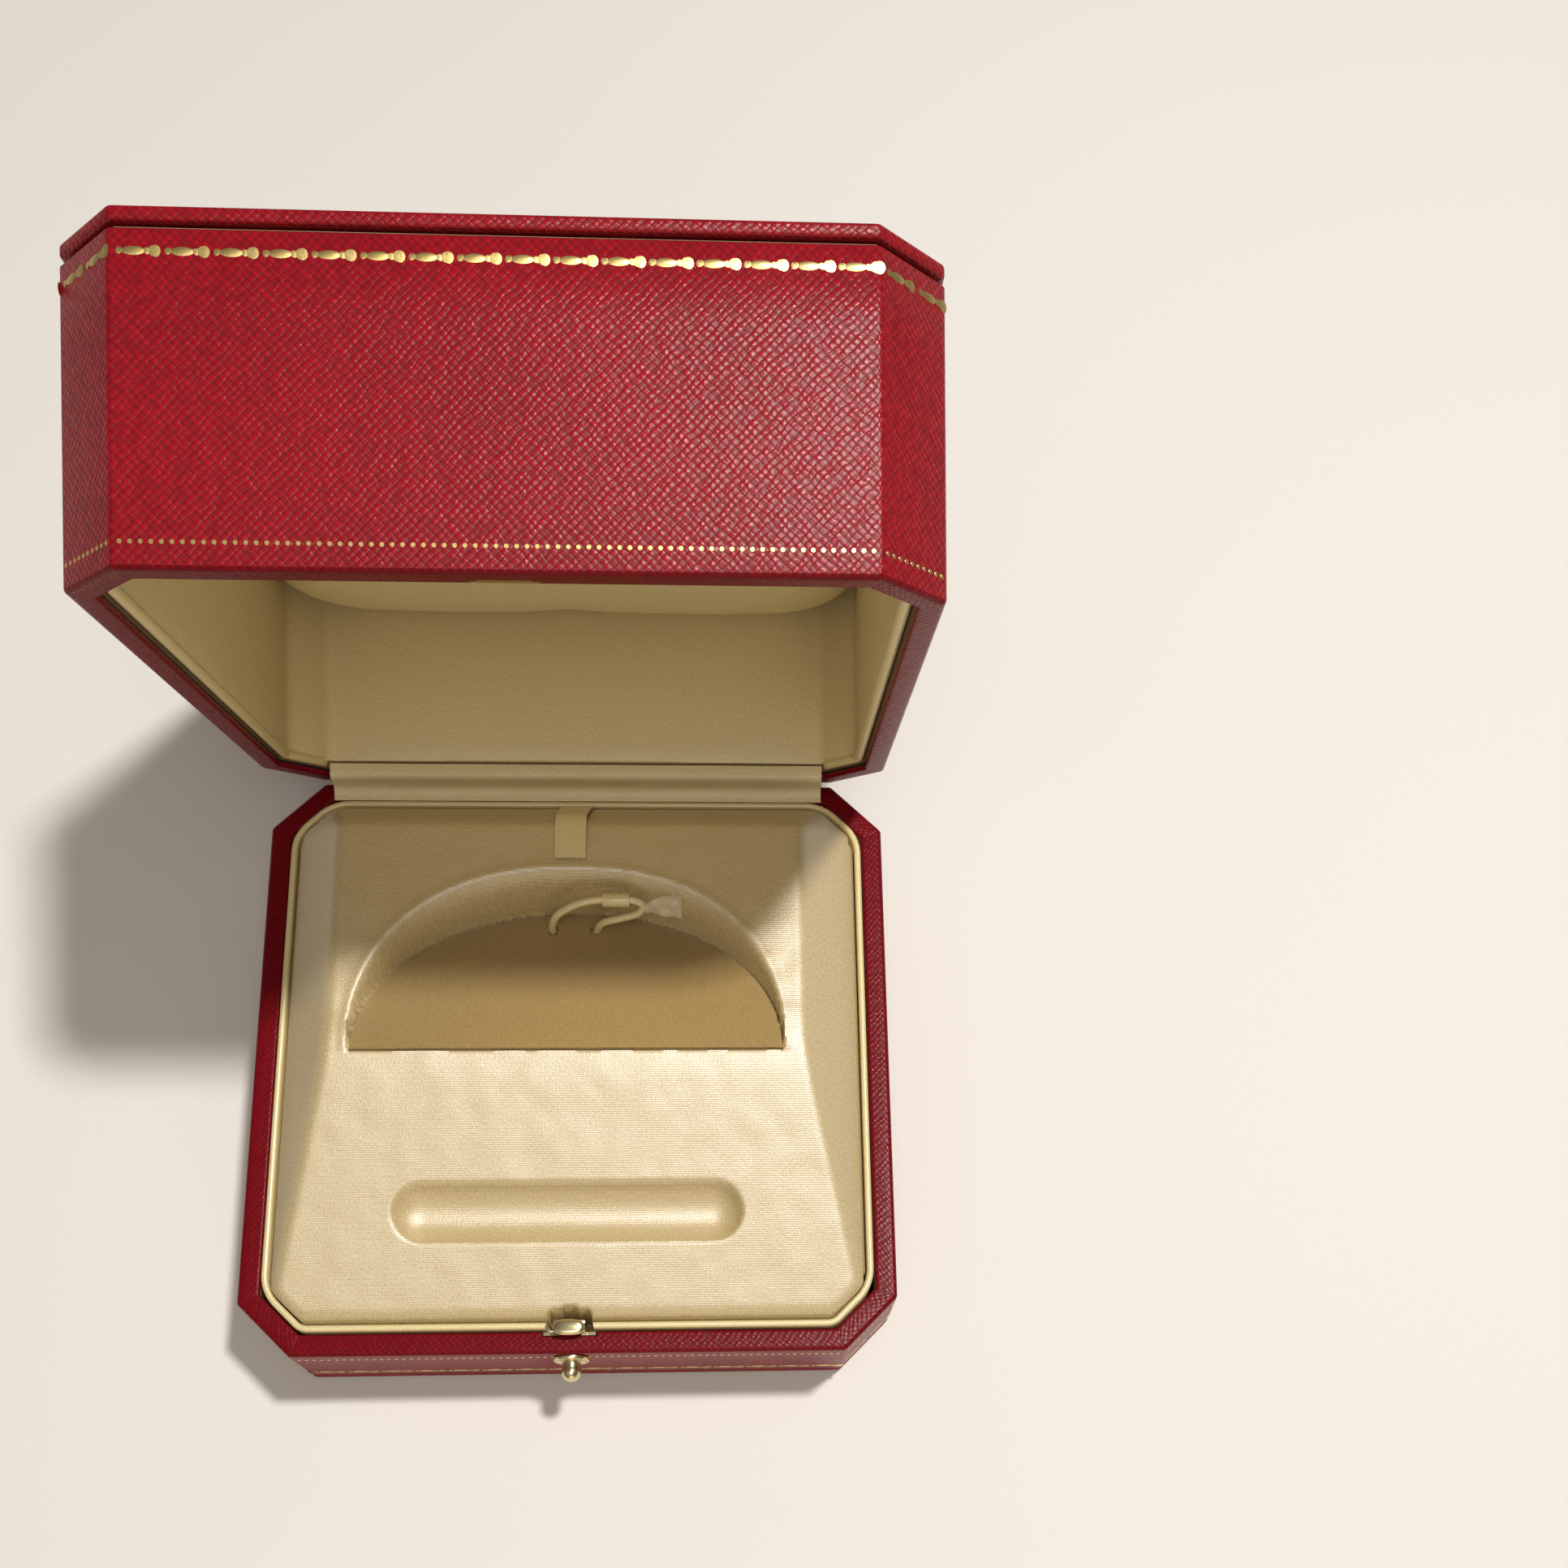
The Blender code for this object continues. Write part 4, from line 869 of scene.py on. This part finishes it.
rows, lengths = liningRows()
shell = lattice(rows, lengths, wrapRows=True)
shell = carved(shell, [brick((-50.4 * mm, back - 8 * mm, lidRim), (50.4 * mm, back, lidRim + 2.7 * mm)),
                       brick(*strikeRoom)])
finishMesh("lid_lining_satin", shell, lightenedLidSatin, "lid", ["lid_lining"], lid=True, sharp=70)

# Satin piping round the mouth of the lid
piping = {"inset": 5.4 * mm, "level": 2.35 * mm, "across": 1.0 * mm, "deep": 0.9 * mm}
rows = []
for k in range(16):
    turn = 2 * math.pi * k / 16
    shift = piping["across"] * math.cos(turn)
    points, lengths = boxOutline(piping["inset"] + shift, 2.6 * mm - shift, 6, 6)
    rows.append([(p.x, p.y, lidRim + piping["level"] + piping["deep"] * math.sin(turn)) for p in points])
shell = carved(lattice(rows, lengths, wrapRows=True), [
    brick((-50.6 * mm, back - 8 * mm, lidRim), (50.6 * mm, back, lidRim + 5 * mm)),
    brick(*strikeRoom)])
finishMesh("lid_piping_satin", shell, collarSatin, "lid", lid=True, sharp=70)

ceiling = {"inset": 7.0 * mm, "cut": 10.0 * mm, "corner": 15.0 * mm, "low": 31.4 * mm, "high": 41.6 * mm,
           "cap": 1.2 * mm, "frames": 14}


# A flat slab swelled a little by cloth under pressure.
def paddedSlab(name):
    rows = []
    for inset, level in ((ceiling["inset"] + 1.5 * mm, ceiling["high"]),
                         (ceiling["inset"], ceiling["high"] - 1 * mm),
                         (ceiling["inset"], ceiling["low"] + 1.5 * mm),
                         (ceiling["inset"] + 1.6 * mm, ceiling["low"])):
        points, lengths = boxOutline(inset, ceiling["corner"], 6, 6, ceiling["cut"])
        rows.append([(p.x, p.y, lidRim + level) for p in points])
    bm = lattice(rows, lengths, caps=True)
    bmesh.ops.recalc_face_normals(bm, faces=bm.faces[:])
    mesh = bpy.data.meshes.new(name)
    bm.to_mesh(mesh)
    bm.free()
    soft = bpy.data.objects.new(name, mesh)
    scene.collection.objects.link(soft)
    remesh = soft.modifiers.new("remesh", "REMESH")
    remesh.mode, remesh.voxel_size = "VOXEL", 2.5 * mm
    bpy.context.view_layer.update()
    soft.data = bpy.data.meshes.new_from_object(soft.evaluated_get(bpy.context.evaluated_depsgraph_get()))
    soft.modifiers.clear()
    before = [v.co.copy() for v in soft.data.vertices]
    cloth = soft.modifiers.new("swell", "CLOTH")
    cloth.settings.use_pressure = True
    cloth.settings.uniform_pressure_force = 4
    cloth.settings.quality = 6
    cloth.settings.effector_weights.gravity = 0
    scene.frame_start, scene.frame_end = 1, ceiling["frames"]
    for number in range(1, ceiling["frames"] + 1):
        scene.frame_set(number)
    after = bpy.data.meshes.new_from_object(soft.evaluated_get(bpy.context.evaluated_depsgraph_get()))
    soft.modifiers.clear()
    for vertex, start, end in zip(soft.data.vertices, before, after.vertices):
        move = end.co - start
        if move.length > ceiling["cap"]:
            move *= ceiling["cap"] / move.length
        vertex.co = start + move
        vertex.co.z = min(vertex.co.z, lidRim + ceiling["high"])
    scene.frame_set(1)
    bm = bmesh.new()
    bm.from_mesh(soft.data)
    bpy.data.objects.remove(soft, do_unlink=True)
    for _ in range(3):
        bmesh.ops.smooth_vert(bm, verts=bm.verts[:], factor=0.5, use_axis_x=True, use_axis_y=True,
                              use_axis_z=True)
    mapFlat(bm)
    return bm


bm = paddedSlab("ceiling_source")
ceilingPiece = finishMesh("lid_ceiling_satin", bm, lightenedLidSatin, "lid", ["lid_ceiling_pad"], lid=True,
                          sharp=80)
smooth = ceilingPiece.modifiers.new("smooth", "SUBSURF")
smooth.levels = smooth.render_levels = 1
print("lid lining ready")


cloths = {"half": 50.0 * mm, "gusset": 0.45 * mm, "spine": 0.7 * mm}


def inLid(y, z):
    moved = openLid @ Vector((0, y, z))
    return (0, moved.y, moved.z)


gussetPath = smoothRoute([
    (0, back - 4.2 * mm, rim + 0.35 * mm), (0, back - 2.9 * mm, rim + 0.75 * mm),
    (0, back - 1.7 * mm, rim + 1.7 * mm), inLid(back - 3.1 * mm, lidRim - 0.95 * mm),
    inLid(back - 4.9 * mm, lidRim - 0.25 * mm), inLid(back - 5.1 * mm, lidRim + 2.3 * mm)], 6)
band = ribbon([(p.y, p.z) for p in gussetPath], cloths["half"], cloths["gusset"], 0.03 * mm)
gusset = finishMesh("gusset_satin", band, lightenedLidSatin, None, ["hinge_gusset"], sharp=85)
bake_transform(gusset)
out = 0.65 * mm
spinePath = smoothRoute([
    (0, back + out, rim - 9 * mm), (0, back + out, rim - 5 * mm), (0, back + out, rim - 3.0 * mm),
    (0, back + 1.5 * mm, rim - 1.9 * mm), inLid(back + 1.7 * mm, lidRim + 1.9 * mm),
    inLid(back + out, lidRim + 3.2 * mm), inLid(back + out, lidRim + 5 * mm),
    inLid(back + out, lidRim + 9 * mm)], 4)
band = ribbon([(p.y, p.z) for p in spinePath], cloths["half"], cloths["spine"])
spine = finishMesh("spine_leather", band, leather, None, ["hinge_spine"], sharp=60)
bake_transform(spine)
print("hinge cloths ready")


button = {"radius": 1.9 * mm, "out": 4.7 * mm, "waist": 1.78 * mm, "neck": 1.84 * mm, "rod": 1.0 * mm,
          "pin": 0.55 * mm}
tip = front - button["out"]
profile = [(button["radius"] * math.sin(math.radians(a)),
            tip + button["radius"] * (1 - math.cos(math.radians(a)))) for a in range(0, 105, 8)]
profile += [(button["waist"], tip + 2.6 * mm), (button["waist"], tip + 3.6 * mm),
            (button["neck"], tip + 3.9 * mm), (button["neck"], front + 0.8 * mm),
            (button["rod"], front + 0.8 * mm), (button["rod"], front + 5.0 * mm),
            (button["pin"], front + 5.0 * mm), (button["pin"], front + 6.0 * mm), (0.0, front + 6.0 * mm)]
finishMesh("button_pin", turned(profile, (0, 0, latch["pinZ"])), brass, "button", ["push_button"])

flange = {"radius": 3.45 * mm, "bore": 2.05 * mm}
profile = [(flange["bore"], -0.05 * mm), (3.3 * mm, -0.05 * mm), (flange["radius"], -0.2 * mm),
           (flange["radius"], -0.62 * mm), (3.32 * mm, -0.8 * mm), (3.1 * mm, -0.86 * mm),
           (2.9 * mm, -0.78 * mm), (2.7 * mm, -0.5 * mm), (2.45 * mm, -0.42 * mm), (2.2 * mm, -0.5 * mm),
           (flange["bore"], -0.42 * mm)]
finishMesh("button_dish", turned(profile, (0, front, latch["pinZ"])), brass, "tub",
           ["button_flange"])

returnSpring = {"radius": 1.5 * mm, "wire": 0.16 * mm, "turns": 2.5, "start": front + 1.05 * mm,
                "end": front + 3.15 * mm}
points = []
for k in range(61):
    turn = 2 * math.pi * returnSpring["turns"] * k / 60
    y = returnSpring["start"] + (returnSpring["end"] - returnSpring["start"]) * k / 60
    points.append((returnSpring["radius"] * math.sin(turn), y,
                   latch["pinZ"] + returnSpring["radius"] * math.cos(turn)))
coil = finishMesh("return_spring", tubeAlong(points, returnSpring["wire"], 8), steel, None,
                  ["button_spring"])
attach(coil, "tub")
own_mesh(coil)

hook = {"half": 3.05 * mm, "low": 1.25 * mm, "high": 3.0 * mm, "stem": 5.3 * mm, "stemBack": 6.1 * mm}


# A brass head, rounded in plan and domed on top.
def hookHead():
    bm = bmesh.new()
    depth = (hook["stemBack"] - 3.0 * mm) / 2
    middle = front + 3.0 * mm + depth
    rows = []
    for scale, level in ((0.90, hook["low"]), (1.0, hook["low"] + 0.3 * mm), (1.0, hook["high"] - 0.75 * mm),
                         (0.96, hook["high"] - 0.40 * mm), (0.84, hook["high"] - 0.12 * mm),
                         (0.62, hook["high"])):
        ring = []
        for k in range(48):
            c, s = math.cos(2 * math.pi * k / 48), math.sin(2 * math.pi * k / 48)
            x = math.copysign(abs(c) ** 0.75, c) * hook["half"] * scale
            y = middle + math.copysign(abs(s) ** 0.75, s) * depth * scale
            ring.append(bm.verts.new((x, y, rim + level)))
        rows.append(ring)
    joinRings(bm, rows)
    return bm


head = hookHead()
stem = brick((-hook["half"], front + hook["stem"], latch["pinZ"] - 2.6 * mm),
             (hook["half"], front + hook["stemBack"], rim + 1.6 * mm))
bmesh.ops.bevel(stem, geom=stem.edges[:], offset=0.15 * mm, segments=2, profile=0.5, affect="EDGES",
                material=-1)
temporary = bpy.data.meshes.new("stem")
stem.to_mesh(temporary)
stem.free()
head.from_mesh(temporary)
bpy.data.meshes.remove(temporary)
finishMesh("latch_hook_head", head, brass, "button", ["latch_hook"], sharp=50)
print("latch ready")


def paint(material, *names):
    for name in names:
        slots = frame["nodes"][name].data.materials
        slots.clear()
        slots.append(material)


paint(board, "base_core", "insert_card", "lid_core", "lid_ceiling_card")
paint(paper, "base_underside")
paint(brass, "latch_bracket", "latch_screw_left", "latch_screw_right", "strike_plate", "strike_screw_left",
      "strike_screw_right")
hingeCloths = ("hinge_gusset", "hinge_spine")
paint(steel, *[name for name in frame["nodes"] if name.startswith("hinge_") and name not in hingeCloths])


studio = {"floor": "#D9D6D2", "key": 14.0, "top": 3.6, "fill": 0.7, "bounce": 2.6, "world": 0.17}
bm = bmesh.new()
bmesh.ops.create_grid(bm, x_segments=1, y_segments=1, size=3.0)
bmesh.ops.translate(bm, verts=bm.verts[:], vec=(0, 0, -0.02 * mm))
floorMesh = bpy.data.meshes.new("studio_floor")
bm.to_mesh(floorMesh)
bm.free()
floor = bpy.data.objects.new("studio_floor", floorMesh)
scene.collection.objects.link(floor)
# Pale seamless backdrop paper
floorMesh.materials.append(newMaterial("backdrop", {"Base Color": studio["floor"], "Roughness": 0.8})[0])


def areaLight(name, place, target, size, watts, colour):
    data = bpy.data.lights.new(name, "AREA")
    data.energy, data.size, data.color = watts, size, linear(colour)[:3]
    lamp = bpy.data.objects.new(name, data)
    lamp.location = place
    lamp.rotation_euler = (Vector(target) - Vector(place)).to_track_quat("-Z", "Y").to_euler()
    scene.collection.objects.link(lamp)


areaLight("key", (0.36, 0.18, 1.20), (0, 0.02, 0.05), 0.10, studio["key"], "#FFFCF6")
areaLight("top", (0.10, -0.45, 1.15), (0, 0, 0.05), 0.55, studio["top"], "#FFFBF4")
areaLight("fill", (-0.7, -0.6, 1.0), (0, 0, 0.05), 1.0, studio["fill"], "#FFF6E4")
areaLight("bounce", (0.1, -1.1, 0.35), (0, 0.05, 0.08), 0.9, studio["bounce"], "#FFE9C6")

world = bpy.data.worlds.new("studio")
scene.world = world
world.use_nodes = True
world.node_tree.nodes["Background"].inputs[0].default_value = linear("#F6EAD6")
world.node_tree.nodes["Background"].inputs[1].default_value = studio["world"]

shot = {"length": 38.456, "sensor": 36.0, "shift": (-0.02495, 0.2621),
        "place": (0.03042, -0.11958, 0.31353 + rim), "turn": (0.28097, -0.05130, -0.02306)}
lens = bpy.data.cameras.new("camera")
lens.lens, lens.sensor_width, lens.clip_start = shot["length"], shot["sensor"], 0.01
lens.shift_x, lens.shift_y = shot["shift"]
camera = bpy.data.objects.new("camera", lens)
camera.location, camera.rotation_euler = shot["place"], shot["turn"]
scene.collection.objects.link(camera)
scene.camera = camera
scene.view_settings.view_transform = "Standard"
scene.view_settings.look = "None"
print("studio ready")
